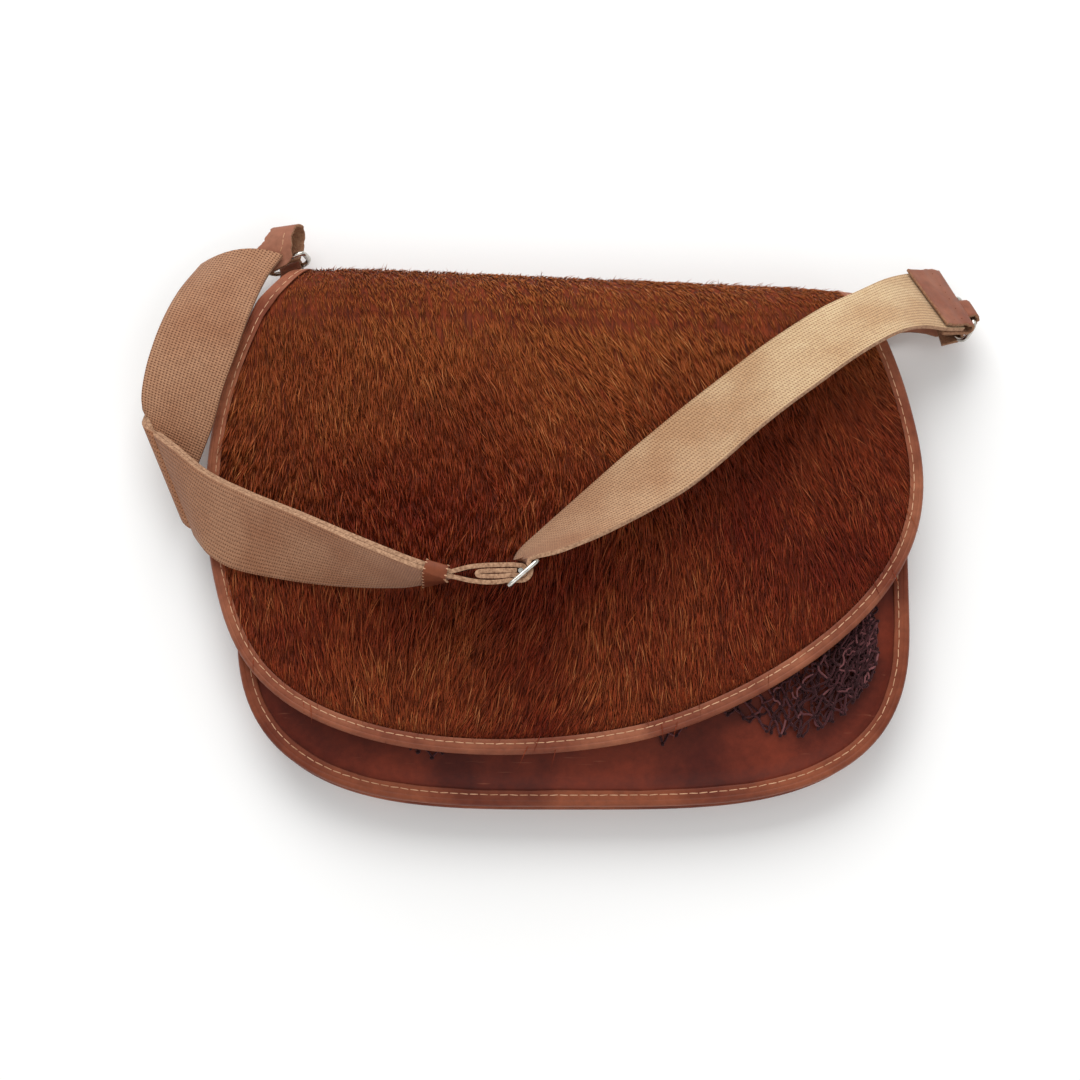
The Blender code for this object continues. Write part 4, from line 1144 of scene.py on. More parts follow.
class GAMEBAG_OT_flap(bpy.types.Operator):
    """Makes the flap's hide, rolled over the top to its seam, and its bound and sewn edge"""
    bl_idname = "gamebag.flap"
    bl_label = "Flap"

    def execute(self, context):
        sizes = settings("leather")
        stations = evenly_spaced(flap_outline(), FLAP_STATIONS)
        left, right = stations[0][0].x, stations[-1][0].x
        front = []
        for inset in (HIDE_EDGE, 5.0, 8.0, HIDE_LIP):
            front.append([flap_flat(p.x, -p.y) for p in flap_row(stations, inset)])
        inner = flap_row(stations, HIDE_LIP)
        for step in range(1, 19):
            share = step / 18
            row = []
            for index, p in enumerate(inner):
                target = blend(inner[0].x, inner[-1].x, index / FLAP_STATIONS)
                row.append(flap_flat(blend(p.x, target, share), blend(-p.y, 0.0, share)))
            front.append(row)
        roll = []
        for step in range(21):
            angle = 180 * step / 20
            roll.append([flap_roll(x, angle) for x in roll_columns(left, right, angle)])
        for distance in (SEAM_FLANGE / 2, SEAM_FLANGE):
            roll.append([(x, hinge_line(x) - distance, SEAM_Z)
                         for x in roll_columns(left, right, 180)])
        hide = sheet("flap_skin", [front, roll], settings("hide").hide_thickness / MM,
                     [finish_of("hide"), finish_of("flesh")], 0.3)
        hold(hide, "hair_on_hide", "flap_hide")

        half = 0.5
        lift = HIDE_HALF + LAYER_GAP + half
        profile = folded_profile(-lift, lift, 8.4)
        rows = [flap_row(stations, inset) for inset, _ in profile]
        middle = []
        for index in range(FLAP_STATIONS + 1):
            middle.append([flap_flat(row[index].x, -row[index].y, rise)
                           for row, (_, rise) in zip(rows, profile)])
        corners = ((left, ROLL_LEFT_TUCK, 1), (right, -ROLL_RIGHT_TUCK, -1))
        ends = []
        for corner, tuck, inwards in corners:
            end = []
            for step in range(1, 15):
                angle = 108 * step / 14
                x = roll_side(corner, tuck, angle / 90)
                end.append([flap_roll(x + inwards * hinge_inset(inset), angle, rise)
                            for inset, rise in profile])
            ends.append(end)
        sections = list(reversed(ends[0])) + middle + ends[1]
        strip = sheet("flap_rim", [sections], 2 * half, [finish_of("binding")], 0.28)
        hold(strip, "binding_leather", "flap_binding")

        inset = 6.0
        pitch = sizes.stitch_pitch / MM
        template = stitch_template(pitch * 0.94, sizes.thread / MM)
        places = []
        for side in (1, -1):
            rise = side * (lift + half - 0.15)
            line, normals = [], []
            for p in flap_row(stations, inset):
                slope = (flap_height(p.x + 1) - flap_height(p.x - 1)) / 2
                line.append(flap_flat(p.x, -p.y, rise))
                normals.append((-slope * side, 0.0, 1.0 * side))
            tails = []
            for corner, tuck, inwards in corners:
                tail = []
                for step in range(1, 14):
                    angle = 104 * step / 14
                    x = roll_side(corner, tuck, angle / 90) + inwards * hinge_inset(inset)
                    turn = math.radians(angle)
                    tail.append((flap_roll(x, angle, rise),
                                 (0.0, side * math.sin(turn), side * math.cos(turn))))
                tails.append(tail)
            before, after = list(reversed(tails[0])), tails[1]
            line = [p for p, _ in before] + line + [p for p, _ in after]
            normals = [n for _, n in before] + normals + [n for _, n in after]
            places += stitch_places(line, normals, pitch)
        stitches = repeated("flap_rim_stitches", template, places, [finish_of("thread")])
        hold(stitches, "binding_leather")
        return {"FINISHED"}


# Hair

def inside_outline(points, outline):
    """Which flat points lie inside a closed outline, by counting crossings."""
    x, y = points[:, 0], points[:, 1]
    inside = np.zeros(len(points), dtype=bool)
    ends = np.roll(outline, -1, axis=0)
    for (x0, y0), (x1, y1) in zip(outline, ends):
        crosses = (y0 > y) != (y1 > y)
        if not crosses.any():
            continue
        at = x0 + (y - y0) / (y1 - y0 + 1e-12) * (x1 - x0)
        inside ^= crosses & (x < at)
    return inside


def hide_surface(x, q):
    """Place, outward normal and downhill direction of the hide, as arrays, at x and at the
    distance q past the hinge line, negative on the front."""
    left = np.maximum(0.0, (-x - LEFT_DROOP_START) / LEFT_DROOP_RUN)
    right = np.maximum(0.0, (x - RIGHT_DROOP_START) / RIGHT_DROOP_RUN)
    top = FLAP_Z - LEFT_DROOP * left ** 2 - RIGHT_DROOP * right ** 2
    slope = (LEFT_DROOP * 2 * left / LEFT_DROOP_RUN
             - RIGHT_DROOP * 2 * right / RIGHT_DROOP_RUN)
    radius = (top - SEAM_Z) / 2
    angle = np.clip(q / radius, 0.0, math.pi)
    y = HINGE_Y + HINGE_SLOPE * x + np.minimum(q, 0.0) + radius * np.sin(angle)
    z = SEAM_Z + radius + radius * np.cos(angle)
    place = np.stack([x, y, z], axis=1)
    normal = np.stack([-slope * np.maximum(0.0, np.cos(angle)), np.sin(angle), np.cos(angle)],
                      axis=1)
    normal /= np.linalg.norm(normal, axis=1, keepdims=True)
    down = np.stack([np.zeros_like(x), -np.cos(angle), np.sin(angle)], axis=1)
    return place, normal, down


def hair_lean(x, y):
    """How far the hair lies over from straight down, in radians, positive to the left."""
    upper = -22.0 - x / 20.0 + 45.0 * np.exp(-np.maximum(0.0, x + 200.0) / 25.0)
    lower = -8.0 + 30.0 * np.exp(-((x + 30.0) / 60.0) ** 2)
    share = 1 / (1 + np.exp(-(y - 20.0) / 15.0))
    swirl = (7.0 * np.sin(x / 34.0 + 1.7 * np.sin(y / 43.0)) * np.cos(y / 37.0 + 0.6)
             + 4.0 * np.sin(x / 13.0 + y / 19.0))
    return np.radians(lower + (upper - lower) * share + swirl)


def grow_hair(draw, spacing, per_tuft, long, wide, rise_range, tone_middle, tone_spread):
    """Paths, radii and tones of hairs over the whole hide, standing in tufts."""
    stations = evenly_spaced(flap_outline(), 260)
    root_edge = np.array([tuple(inset_point(s, 8.6)) for s in stations])
    tip_edge = np.array([tuple(inset_point(s, 7.2)) for s in stations])
    left, right = stations[0][0].x, stations[-1][0].x
    xs = np.arange(-225, 225, spacing)
    qs = np.arange(-300, 60, spacing * 0.866)
    grid_x, grid_q = np.meshgrid(xs, qs)
    grid_x = grid_x + (np.arange(len(qs)) % 2)[:, None] * spacing / 2
    tufts = np.stack([grid_x.ravel(), grid_q.ravel()], axis=1)
    tufts += draw.uniform(-0.45, 0.45, tufts.shape) * spacing
    spread = draw.normal(0.0, 0.5, (len(tufts) * per_tuft, 2)) * spacing
    tuft_of = np.repeat(np.arange(len(tufts)), per_tuft)
    roots = tufts[tuft_of] + spread
    flat = roots[:, 1] <= 0
    keep = np.zeros(len(roots), dtype=bool)
    keep[flat] = inside_outline(roots[flat], root_edge)
    turned = np.maximum(0.0, roots[:, 1]) / 37.0
    side_left = roll_side(left, ROLL_LEFT_TUCK, turned) + 11.5
    side_right = roll_side(right, -ROLL_RIGHT_TUCK, turned) - 11.5
    keep |= ~flat & (roots[:, 0] > side_left) & (roots[:, 0] < side_right)
    roots, spread, tuft_of = roots[keep], spread[keep], tuft_of[keep]

    count = len(roots)
    x, q = roots[:, 0], roots[:, 1]
    place, normal, down = hide_surface(x, q)
    side = np.cross(down, normal)
    lean = (hair_lean(x, place[:, 1]) + np.radians(draw.normal(0.0, 7.0, len(tufts))[tuft_of]
                                                   + draw.normal(0.0, 5.0, count)))
    reach = long * draw.uniform(0.65, 1.15, count) * draw.uniform(0.85, 1.12, len(tufts))[tuft_of]
    rise = np.radians(draw.uniform(*rise_range, count))
    # The coat lies flatter and shorter towards the roll
    near = np.clip((q + 70) / 70, 0.0, 1.0)
    rise *= 1 - 0.45 * near
    reach *= 1 - 0.3 * near ** 3 - 0.25 * np.clip((q + 8) / 16, 0.0, 1.0)
    # Hairs near the binding are short enough to leave it bare, apart from a few strays
    stray = draw.uniform(0, 1, count) < 0.012
    for _ in range(6):
        tip = np.stack([x - np.sin(lean) * reach, q - np.cos(lean) * reach], axis=1)
        outside = ~inside_outline(tip, tip_edge) & (tip[:, 1] < 0) & ~stray & (reach > 2.5)
        reach = np.where(outside, reach * 0.72, reach)
    direction = down * np.cos(lean)[:, None] + side * np.sin(lean)[:, None]
    # The hairs of a tuft draw together towards their tips
    gather = spread[:, :1] * np.array([[-0.5, 0.0, 0.0]]) + spread[:, 1:] * down * 0.5
    gather *= np.minimum(1.0, reach / long)[:, None]
    base = place + normal * 0.9
    bow = side * draw.normal(0.0, 0.5, (count, 1))
    middle = (base + direction * (reach * 0.5)[:, None] + gather * 0.5 + bow
              + normal * (reach * 0.5 * np.sin(rise) + 0.4)[:, None])
    tip = (base + direction * reach[:, None] + gather
           + normal * (reach * np.sin(rise) * 0.6)[:, None])
    centres = np.stack([base, middle, tip], axis=1)
    radius = wide / 2 * draw.uniform(0.7, 1.2, count)
    radii = np.stack([radius * 0.9, radius, radius * 0.1], axis=1)
    tones = np.clip(draw.normal(tone_middle, tone_spread, count)
                    + draw.normal(0.0, 0.1, len(tufts))[tuft_of], 0.0, 1.0)
    return centres, radii, tones


class GAMEBAG_OT_hair(bpy.types.Operator):
    """Grows the hide's hair as fine tapering locks that lean together in tufts"""
    bl_idname = "gamebag.hair"
    bl_label = "Hair"

    def execute(self, context):
        hide = settings("hide")
        spacing, long = hide.tuft_spacing / MM, hide.hair_length / MM
        wide = hide.hair_width / MM
        per_tuft = hide.hairs_per_tuft
        # Real hair is 0.06 mm thick: each lock here stands for a few hairs, so that it shows
        draw = np.random.default_rng(11)
        under = grow_hair(draw, spacing, per_tuft, long, wide, (6.0, 15.0), 0.42, 0.17)
        # A thin upper layer of longer, lighter hairs
        upper = grow_hair(draw, spacing * 2.2, max(2, per_tuft // 2), long * 1.4, wide * 0.85,
                          (9.0, 18.0), 0.74, 0.14)
        centres, radii, tones = (np.concatenate(pair) for pair in zip(under, upper))
        order = np.argsort(centres[:, 0, 1], kind="stable")
        for index, chunk in enumerate(np.array_split(order, 5)):
            hair = strands("hair_%d" % (index + 1), centres[chunk], radii[chunk], 3,
                           tones[chunk], finish_of("hair"), True)
            hold(hair, "hair_on_hide")
        return {"FINISHED"}


# Net

def net_lower_edge(x):
    peek_left = 23 * math.exp(-((x + 80) / 26) ** 2)
    peek_middle = 18 * math.exp(-((x - 52) / 10) ** 2)
    bunch = 13 * math.exp(-((x - 122) / 24) ** 2)
    right_rise = 45 * max(0.0, (x - 140) / 38) ** 2
    return -108 - peek_left - peek_middle - bunch + right_rise


def net_layer(draw, bar, columns, rows, lift, shift):
    """Knots and cords of one layer of diamond net, gathered in pleats at its right end."""
    step = bar / math.sqrt(2)
    knots = {}
    for i in range(columns + 1):
        for j in range(rows + 1):
            if (i + j) % 2:
                continue
            a, b = i * step + shift, j / rows
            past = max(0.0, a - NET_FLAT_WIDTH)
            gathered = smoothstep(past / 60)
            x = NET_LEFT_X + min(a, NET_FLAT_WIDTH)
            x += NET_BUNCH_WIDTH * (1 - math.exp(-past / 95))
            turn = past * 2 * math.pi / NET_PLEAT + 1.1 * math.sin(b * 9 + shift)
            x += 3.2 * math.sin(turn) * gathered
            y = blend(net_lower_edge(x), NET_TOP_Y, b ** 0.95)
            y += 2.0 * waves(a, j * 8.0, 30.0, 1.0)
            y += gathered * draw.normal(0.0, 1.2) * (1 - b)
            z = front_height(min(max(x, -180), 180), y) + lift + draw.uniform(-0.4, 0.6)
            z += 2.6 * (1 + math.cos(turn)) * gathered * smoothstep((-55 - y) / 20)
            jitter = draw.normal(0.0, 0.7 + 0.5 * gathered, 2)
            top = 47.0 if y > -60 else 52.0
            knots[(i, j)] = np.array([x + jitter[0], y + jitter[1], min(z, top)])
    centres, marks = [], []
    for (i, j), start in knots.items():
        for other in ((i + 1, j + 1), (i + 1, j - 1)):
            if other not in knots:
                continue
            end = knots[other]
            bow = draw.normal(0.0, 0.8, 3) * (1.0, 0.8, 0.3)
            curl = draw.normal(0.0, 0.7, 3) * (1.0, 0.8, 0.4)
            centres.append([start * (1 - t) + end * t + bow * math.sin(math.pi * t)
                            + curl * math.sin(2 * math.pi * t) for t in np.linspace(0, 1, 6)])
            # The lower layer's cords get marks scaled to 0.4, so they are darker: painted shade
            # under the upper layer
            marks.append(draw.uniform(0.15, 1.0) * (0.4 if shift else 1.0))
    return knots, np.array(centres), np.array(marks)


class GAMEBAG_OT_net(bpy.types.Operator):
    """Knots the carrying net that lies bunched between front and flap"""
    bl_idname = "gamebag.net"
    bl_label = "Net"

    def execute(self, context):
        sizes = settings("net")
        bar, cord, knot = sizes.bar / MM, sizes.cord / MM, sizes.knot / MM
        draw = np.random.default_rng(5)
        mesh = bmesh.new()
        bmesh.ops.create_uvsphere(mesh, u_segments=6, v_segments=4, radius=0.5, calc_uvs=True)
        template = mesh_data(mesh, "knot")
        places = []
        for index, (lift, shift) in enumerate(((3.4, 0.0), (1.9, 4.1))):
            knots, centres, marks = net_layer(draw, bar, 70, 30, lift, shift)
            radii = np.full(centres.shape[:2], cord / 2)
            cords = strands("net_cords_%d" % (index + 1), centres, radii, 4, marks,
                            finish_of("cord"))
            if index:
                hold(cords, "net_cord")
            else:
                hold(cords, "net_cord", "net")
            for spot in knots.values():
                turn = Matrix.Rotation(draw.uniform(0, math.pi), 4, "Z")
                size = knot * draw.uniform(0.85, 1.2)
                scale = Matrix.Diagonal((size * 1.15, size * 0.85, size * 0.75, 1.0))
                places.append(Matrix.Translation(Vector(spot)) @ turn @ scale)
        hold(repeated("net_knots", template, places, [finish_of("cord")]), "net_cord")
        return {"FINISHED"}


# Web

def spread_across(a, b):
    return [a.lerp(b, index / WEB_COLUMNS) for index in range(WEB_COLUMNS + 1)]


def shifted_layer(rows, offset):
    """The rows' surface, moved along its own normals."""
    mesh = bmesh.new()
    made = bmesh.ops.create_grid(mesh, x_segments=WEB_COLUMNS, y_segments=len(rows) - 1, size=1.0)
    spots = {}
    for vertex in made["verts"]:
        column = round((vertex.co.x + 1) / 2 * WEB_COLUMNS)
        row = round((vertex.co.y + 1) / 2 * (len(rows) - 1))
        spots[vertex] = (row, column)
        raised, resting = row_ends(rows[row])
        vertex.co = resting.lerp(raised, column / WEB_COLUMNS)
    mesh.normal_update()
    result = [[None] * (WEB_COLUMNS + 1) for _ in rows]
    for vertex, (row, column) in spots.items():
        result[row][column] = vertex.co + vertex.normal * offset
    mesh.free()
    return result


def leaned(x, y, z):
    """A point of the upright web or slider, with the lean that puts its foot further back."""
    return Vector((x, y + FOOT_BACK * (SLIDER_TOP - z) / (SLIDER_TOP - SLIDER_FOOT), z))


def upright_rows(plan):
    return [spread_across(leaned(x, y, SLIDER_FOOT), leaned(x, y, SLIDER_TOP)) for x, y in plan]


def slider_plan(along, lift):
    a = Vector(SLIDER_ALONG)
    b = Vector((-a.y, a.x))
    return Vector(SLIDER_MIDDLE) + a * along + b * lift


def plan_arc(centre, radius, start, end, count):
    return [(centre[0] + radius * math.cos(angle), centre[1] + radius * math.sin(angle))
            for angle in angles(start, end, count)]


def fold_rows(count):
    """Half a turn round the fold line. The web runs nearly along that line, so it also
    slides on along it while it turns."""
    raised, resting = row_ends(FOLD_LINE)
    line = (resting - raised).normalized()
    outwards = Vector((resting.y - raised.y, raised.x - resting.x, 0.0)).normalized()
    up = Vector((0.0, 0.0, 1.0))
    rows = []
    for step in range(count + 1):
        share = step / count
        angle = math.radians(blend(-90, 90, share))
        shift = outwards * math.cos(angle) + up * math.sin(angle)
        rows.append([*(raised + shift * FOLD_RADII[0] + line * blend(-4.0, 11.0, share)),
                     *(resting + shift * FOLD_RADII[1] + line * blend(-14.0, 8.0, share))])
    return rows


def doubled_rows():
    fold = fold_rows(10)
    upper = smooth_rows(UPPER_RUN + [tuple(fold[0])], 44)
    lower = smooth_rows([tuple(fold[-1])] + LOWER_RUN, 84)
    return upper[:-1] + fold + lower[1:]


class GAMEBAG_OT_web(bpy.types.Operator):
    """Lays both webs: the left one to the slider's bar, the right one through the slider"""
    bl_idname = "gamebag.web"
    bl_label = "Woven web"

    def execute(self, context):
        thickness = settings("strap").web_thickness / MM
        doubled = doubled_rows()
        run = shifted_layer(doubled, LAYER_OFFSET)
        # The web's end curls over where it meets its leather
        for index, row in enumerate(run[:16]):
            fade = (1 - index / 16) ** 2
            for column, point in enumerate(row):
                share = column / WEB_COLUMNS
                bulge = 4 * share * (1 - share) * fade
                point.y += 5.5 * bulge
                point.z += 3.0 * bulge
        bar = slider_plan(0.0, BAR_LIFT)
        plan = (smooth_rows(SEWN_PLAN, 10) + plan_arc(bar, BAR_WRAP, 100, -100, 14)
                + smooth_rows(RETURN_PLAN, 8) + smooth_rows(FOLD_PLAN, 4)
                + smooth_rows(HEM_PLAN, 8))
        left = sheet("web_left", [run + upright_rows(plan)], thickness,
                     [finish_of("web_left"), finish_of("selvedge")], 0.5, True)
        hold(left, "woven_web", "strap_left")

        tail = shifted_layer(doubled, -LAYER_OFFSET)[30:]
        # It turns round the same bar, outside the left web's loop
        plan = smooth_rows(RUNNING_PLAN, 12) + plan_arc(bar, RUNNING_WRAP, -92, 28, 14)
        exits = [spread_across(Vector((-26.4, -25.0, 59.2)), Vector((-25.2, -33.9, 108.4))),
                 spread_across(Vector((-30.2, -23.4, 59.3)), Vector((-24.4, -31.6, 107.9)))]
        rows = []
        for index, row in enumerate(smooth_rows(RIGHT_RUN, 110)[:-1]):
            raised, resting = row_ends(row)
            line = spread_across(resting, raised)
            for column, point in enumerate(line):
                ripple = math.sin(math.pi * column / WEB_COLUMNS)
                point.z += 0.5 * math.sin(index / 9) * ripple
            rows.append(line)
        right = sheet("web_right", [tail + upright_rows(plan) + exits + rows], thickness,
                      [finish_of("web_right"), finish_of("selvedge")], 0.5, True)
        hold(right, "woven_web", "strap_right")
        return {"FINISHED"}


class GAMEBAG_OT_keeper(bpy.types.Operator):
    """Makes the leather loop that holds both layers of web together"""
    bl_idname = "gamebag.keeper"
    bl_label = "Keeper"

    def execute(self, context):
        leather = settings("strap").keeper_leather / MM
        high = LAYER_OFFSET + settings("strap").web_thickness / MM / 2 + 0.25 + leather / 2
        rows = doubled_rows()[-9:]
        over = shifted_layer(rows, -high)
        under = shifted_layer(rows, high)
        sections = []
        for index in range(1, len(rows) - 1):
            front, back = over[index], under[index]
            across = (front[-1] - front[0]).normalized()
            ring = list(front)
            for start, end, sign in ((front[-1], back[-1], 1), (back[0], front[0], -1)):
                middle = (start + end) / 2
                for step in range(1, 6):
                    angle = math.pi * step / 6
                    ring.append(middle + (start - middle) * math.cos(angle)
                                + across * sign * (1.0 + high * 0.45 * math.sin(angle)))
                if sign == 1:
                    ring += list(reversed(back))
            ring.append(ring[0].copy())
            sections.append(ring)
        loop = sheet("keeper_loop", [sections], leather,
                     [finish_of("keeper"), finish_of("flesh")], 0.25)
        hold(loop, "strap_leather", "keeper")

        # Both cut edges are whipped with pale thread
        template = stitch_template(1.6, settings("leather").thread / MM * 1.15)
        places = []
        for ring, before in ((sections[0], sections[1]), (sections[-1], sections[-2])):
            centre = sum(ring[:-1], Vector()) / (len(ring) - 1)
            for column in range(0, len(ring) - 1, 2):
                spot = ring[column]
                along = (before[column] - spot).normalized()
                normal = (ring[column + 1] - spot).cross(along).normalized()
                if normal.dot(spot - centre) < 0:
                    normal = -normal
                basis = Matrix((along, normal.cross(along), normal)).transposed().to_4x4()
                basis.translation = spot + normal * leather / 2 + along * 0.4
                places.append(basis)
        whipping = repeated("keeper_whipping", template, places, [finish_of("thread")])
        hold(whipping, "strap_leather")
        return {"FINISHED"}


# Leather ends, tabs, rings and slider

def strip_row(centre, across, half_width, count=6):
    low, high = centre - across * half_width, centre + across * half_width
    return [low.lerp(high, index / count) for index in range(count + 1)]


def loop_rows(centre, axis, towards, radius, half_width, start, end, count):
    up = axis.cross(towards).normalized()
    rows = []
    for angle in angles(start, end, count):
        place = centre + towards * radius * math.cos(angle) + up * radius * math.sin(angle)
        rows.append(strip_row(place, axis, half_width))
    return rows


def right_end_axes():
    raised, resting = row_ends(RIGHT_END)
    before_raised, before_resting = row_ends(RIGHT_BEFORE_END)
    across = (raised - resting).normalized()
    ahead = raised + resting - before_raised - before_resting
    ahead = square_to(ahead, across)
    return raised, resting, across, ahead, across.cross(ahead)


def right_loop_centre():
    raised, resting, across, ahead, normal = right_end_axes()
    middle = (raised + resting) / 2
    return middle + across * 6.0 + ahead * 8.0 + normal * (RIGHT_LIFT - RIGHT_LOOP_RADIUS)


def ring_axes_left():
    along = Vector((0.94, 0.28, 0.20)).normalized()
    up = square_to(Vector((-0.2, 0.1, 0.97)), along)
    return Vector((-168.5, 160.5, 18.4)), along, up


def ring_axes_right():
    _, _, across, _, _ = right_end_axes()
    up = square_to(Vector((0.45, 0.45, 0.77)), across)
    return right_loop_centre() - up * RING_HALF_HEIGHT, across, up


def scallop(position, seed):
    """A hand-cut edge: shallow uneven scallops, up to a millimetre deep."""
    return 0.55 * math.sin(position * 1.1 + seed) + 0.35 * math.sin(position * 2.3 + seed * 2.1)


def make_left_end(leather, finish):
    sections = []
    for index, row in enumerate(smooth_rows(LEFT_END_ROWS, 52)):
        left, right = row_ends(row)
        across = (right - left).normalized()
        left -= across * scallop(index * 1.1, 0.4) * smoothstep((index - 16) / 10)
        right += across * 0.5 * scallop(index * 0.9, 2.0)
        sections.append([left.lerp(right, k / 8) for k in range(9)])
    piece = sheet("leather_end_left", [sections], leather, finish, 0.4)
    hold(piece, "strap_leather", "strap_end_left")
    sizes = settings("leather")
    pitch = sizes.stitch_pitch / MM * 0.7
    line, normals = [], []
    for index in range(26, 45):
        row, after = sections[index], sections[index + 1]
        normal = (row[8] - row[0]).cross(after[4] - row[4]).normalized()
        if normal.z < 0:
            normal = -normal
        line.append(row[0].lerp(row[8], 0.72) + normal * leather / 2)
        normals.append(normal)
    places = stitch_places(line, normals, pitch)
    template = stitch_template(pitch * 0.96, sizes.thread / MM)
    stitches = repeated("leather_end_left_stitches", template, places, [finish_of("thread")])
    hold(stitches, "strap_leather")


def make_right_end(leather, finish):
    raised, resting, across, ahead, normal = right_end_axes()
    # A leather band is folded over the web's end
    inner_resting, inner_raised = Vector((195.5, 151.3, 28.0)), Vector((214.5, 113.0, 47.0))
    high = settings("strap").web_thickness / MM / 2 + leather / 2 + 0.4
    sections = []
    for step in range(25):
        share = step / 24
        inner = inner_resting.lerp(inner_raised, share)
        outer = resting.lerp(raised, share)
        row = []
        for k in range(11):
            t = k / 10
            ridge = 0.45 * math.exp(-((t - 0.42) / 0.09) ** 2)
            ridge += 0.4 * math.exp(-((t - 0.8) / 0.07) ** 2)
            end = (1 if share > 0.5 else -1) * scallop(t * 9, 1.0 + 3 * round(share))
            end *= abs(2 * share - 1) ** 6
            row.append(inner.lerp(outer, t) + normal * (high + 0.9 + ridge - 0.5 * t)
                       + across * end)
        for k in range(1, 7):
            angle = math.pi * k / 7
            row.append(outer + ahead * high * 0.9 * math.sin(angle)
                       + normal * (high + 0.4) * math.cos(angle))
        for k in range(6):
            row.append(inner.lerp(outer, 1 - k / 5) - normal * (high + 0.3) + across * 0.5)
        sections.append(row)
    band = sheet("leather_end_right", [sections], leather, finish, 0.4)
    hold(band, "strap_leather", "strap_end_right")

    # Holes left by its stitches, drawn as dark dots in the hide's skin finish: painted shade in
    # the holes
    mesh = bmesh.new()
    bmesh.ops.create_uvsphere(mesh, u_segments=8, v_segments=6, radius=0.55)
    template = mesh_data(mesh, "hole")
    places = []
    for share, t in ((0.09, 0.72), (0.3, 0.72), (0.33, 0.4), (0.43, 0.74), (0.55, 0.72),
                     (0.72, 0.72), (0.9, 0.7), (0.62, 0.38), (0.93, 0.35)):
        spot = inner_resting.lerp(inner_raised, share).lerp(resting.lerp(raised, share), t)
        spot += normal * (high + 0.85 + leather / 2 - 0.5 * t)
        places.append(Matrix.Translation(spot) @ Matrix.Diagonal((1.0, 1.0, 0.5, 1.0)))
    hold(repeated("leather_end_right_holes", template, places, [finish_of("hide")]),
         "strap_leather")

    # A narrower loop comes out of the band and goes round the ring
    centre = right_loop_centre() + across * 2.2 - ahead * 0.7
    root = centre - ahead * 9.5 - normal * 0.2
    rows = [strip_row(root, across, 6.8), strip_row(root + ahead * 4 + normal * 2, across, 7.0)]
    rows += loop_rows(centre, across, ahead, RIGHT_LOOP_RADIUS, 7.1, 80, -110, 18)
    rows.append(strip_row(centre - ahead * 6.5 - normal * (RIGHT_LOOP_RADIUS - 1.0), across, 6.9))
    for index, row in enumerate(rows):
        for column, point in enumerate(row):
            side = 2 * column / (len(row) - 1) - 1
            bulge = 0.45 * math.sin(index * 0.7) * (1 - side * side)
            point += ahead * (bulge + 0.7) * smoothstep(index / 4)
            point += across * side ** 3 * scallop(index * 1.3, 1.0 + side)
    loop = sheet("leather_loop_right", [rows], leather, finish, 0.4)
    hold(loop, "strap_leather")


def make_tabs(leather, finish):
    ring, along, up = ring_axes_left()
    bar = ring - up * RING_HALF_HEIGHT
    flat = Vector((1.0, 0.0, 0.0))
    rows = [strip_row(Vector((-170.5, y, 5.0)), flat, 6.5) for y in range(104, 142, 6)]
    lean = (flat + along).normalized()
    rows.append(strip_row(Vector((-169.8, 150, 8.0)), lean, 6.5))
    towards = square_to(Vector((0.0, 1.0, 0.0)), along)
    rows += loop_rows(bar, along, towards, 3.4, 6.5, 120, -90, 12)
    rows.append(strip_row(Vector((-169.8, 151, 4.6)), lean, 6.5))
    rows.append(strip_row(Vector((-170.5, 142, 2.1)), flat, 6.5))
    hold(sheet("tab_piece_left", [rows], leather, finish, 0.35), "strap_leather", "tab_left")

    ring, along, up = ring_axes_right()
    bar = ring - up * RING_HALF_HEIGHT
    flat = Vector((0.0, -1.0, 0.0))
    path = smooth_rows([(168, 115.5, 4.8), (181, 122.5, 4.9), (195, 127.5, 4.7),
                        (208, 127.5, 5.0), (216, 125, 6.0)], 10)
    rows = [strip_row(Vector(place), flat, 5.2) for place in path]
    lean = (flat + along).normalized()
    towards = square_to(Vector((1.0, 0.0, 0.0)), along)
    rise = along.cross(towards).normalized()
    rows += loop_rows(bar, along, towards, 3.4, 6.5, 110, -100, 12)
    rows.append(strip_row(bar - towards * 8.5 - rise * 2.2, lean, 6.5))
    hold(sheet("tab_piece_right", [rows], leather, finish, 0.35), "strap_leather", "tab_right")


class GAMEBAG_OT_leather_ends(bpy.types.Operator):
    """Makes the leather pieces at the web's ends and the tabs at the body's corners"""
    bl_idname = "gamebag.leather_ends"
    bl_label = "Leather ends and tabs"

    def execute(self, context):
        leather = settings("strap").end_leather / MM
        finish = [finish_of("strap_leather"), finish_of("flesh")]
        make_left_end(leather, finish)
        make_right_end(leather, finish)
        make_tabs(leather, finish)
        return {"FINISHED"}


def bend_wire(points, radius, cyclic):
    """A round wire along the points, bent with Blender's own curve bevel."""
    curve = bpy.data.curves.new("wire", "CURVE")
    curve.dimensions = "3D"
    curve.bevel_depth = radius * MM
    curve.bevel_resolution = 4
    curve.use_fill_caps = not cyclic
    spline = curve.splines.new("POLY")
    spline.points.add(len(points) - 1)
    for target, point in zip(spline.points, points):
        target.co = (*(Vector(point) * MM), 1.0)
    spline.use_cyclic_u = cyclic
    item = put_in_scene("wire", curve)
    graph = bpy.context.evaluated_depsgraph_get()
    data = bpy.data.meshes.new_from_object(item.evaluated_get(graph))
    bpy.data.objects.remove(item, do_unlink=True)
    bpy.data.curves.remove(curve)
    return data


def wire_piece(name, wires):
    mesh = bmesh.new()
    for data in wires:
        mesh.from_mesh(data)
        bpy.data.meshes.remove(data)
    bmesh.ops.remove_doubles(mesh, verts=mesh.verts, dist=1e-6)
    bmesh.ops.recalc_face_normals(mesh, faces=mesh.faces)
    return finish_mesh(mesh, name, [finish_of("nickel")])


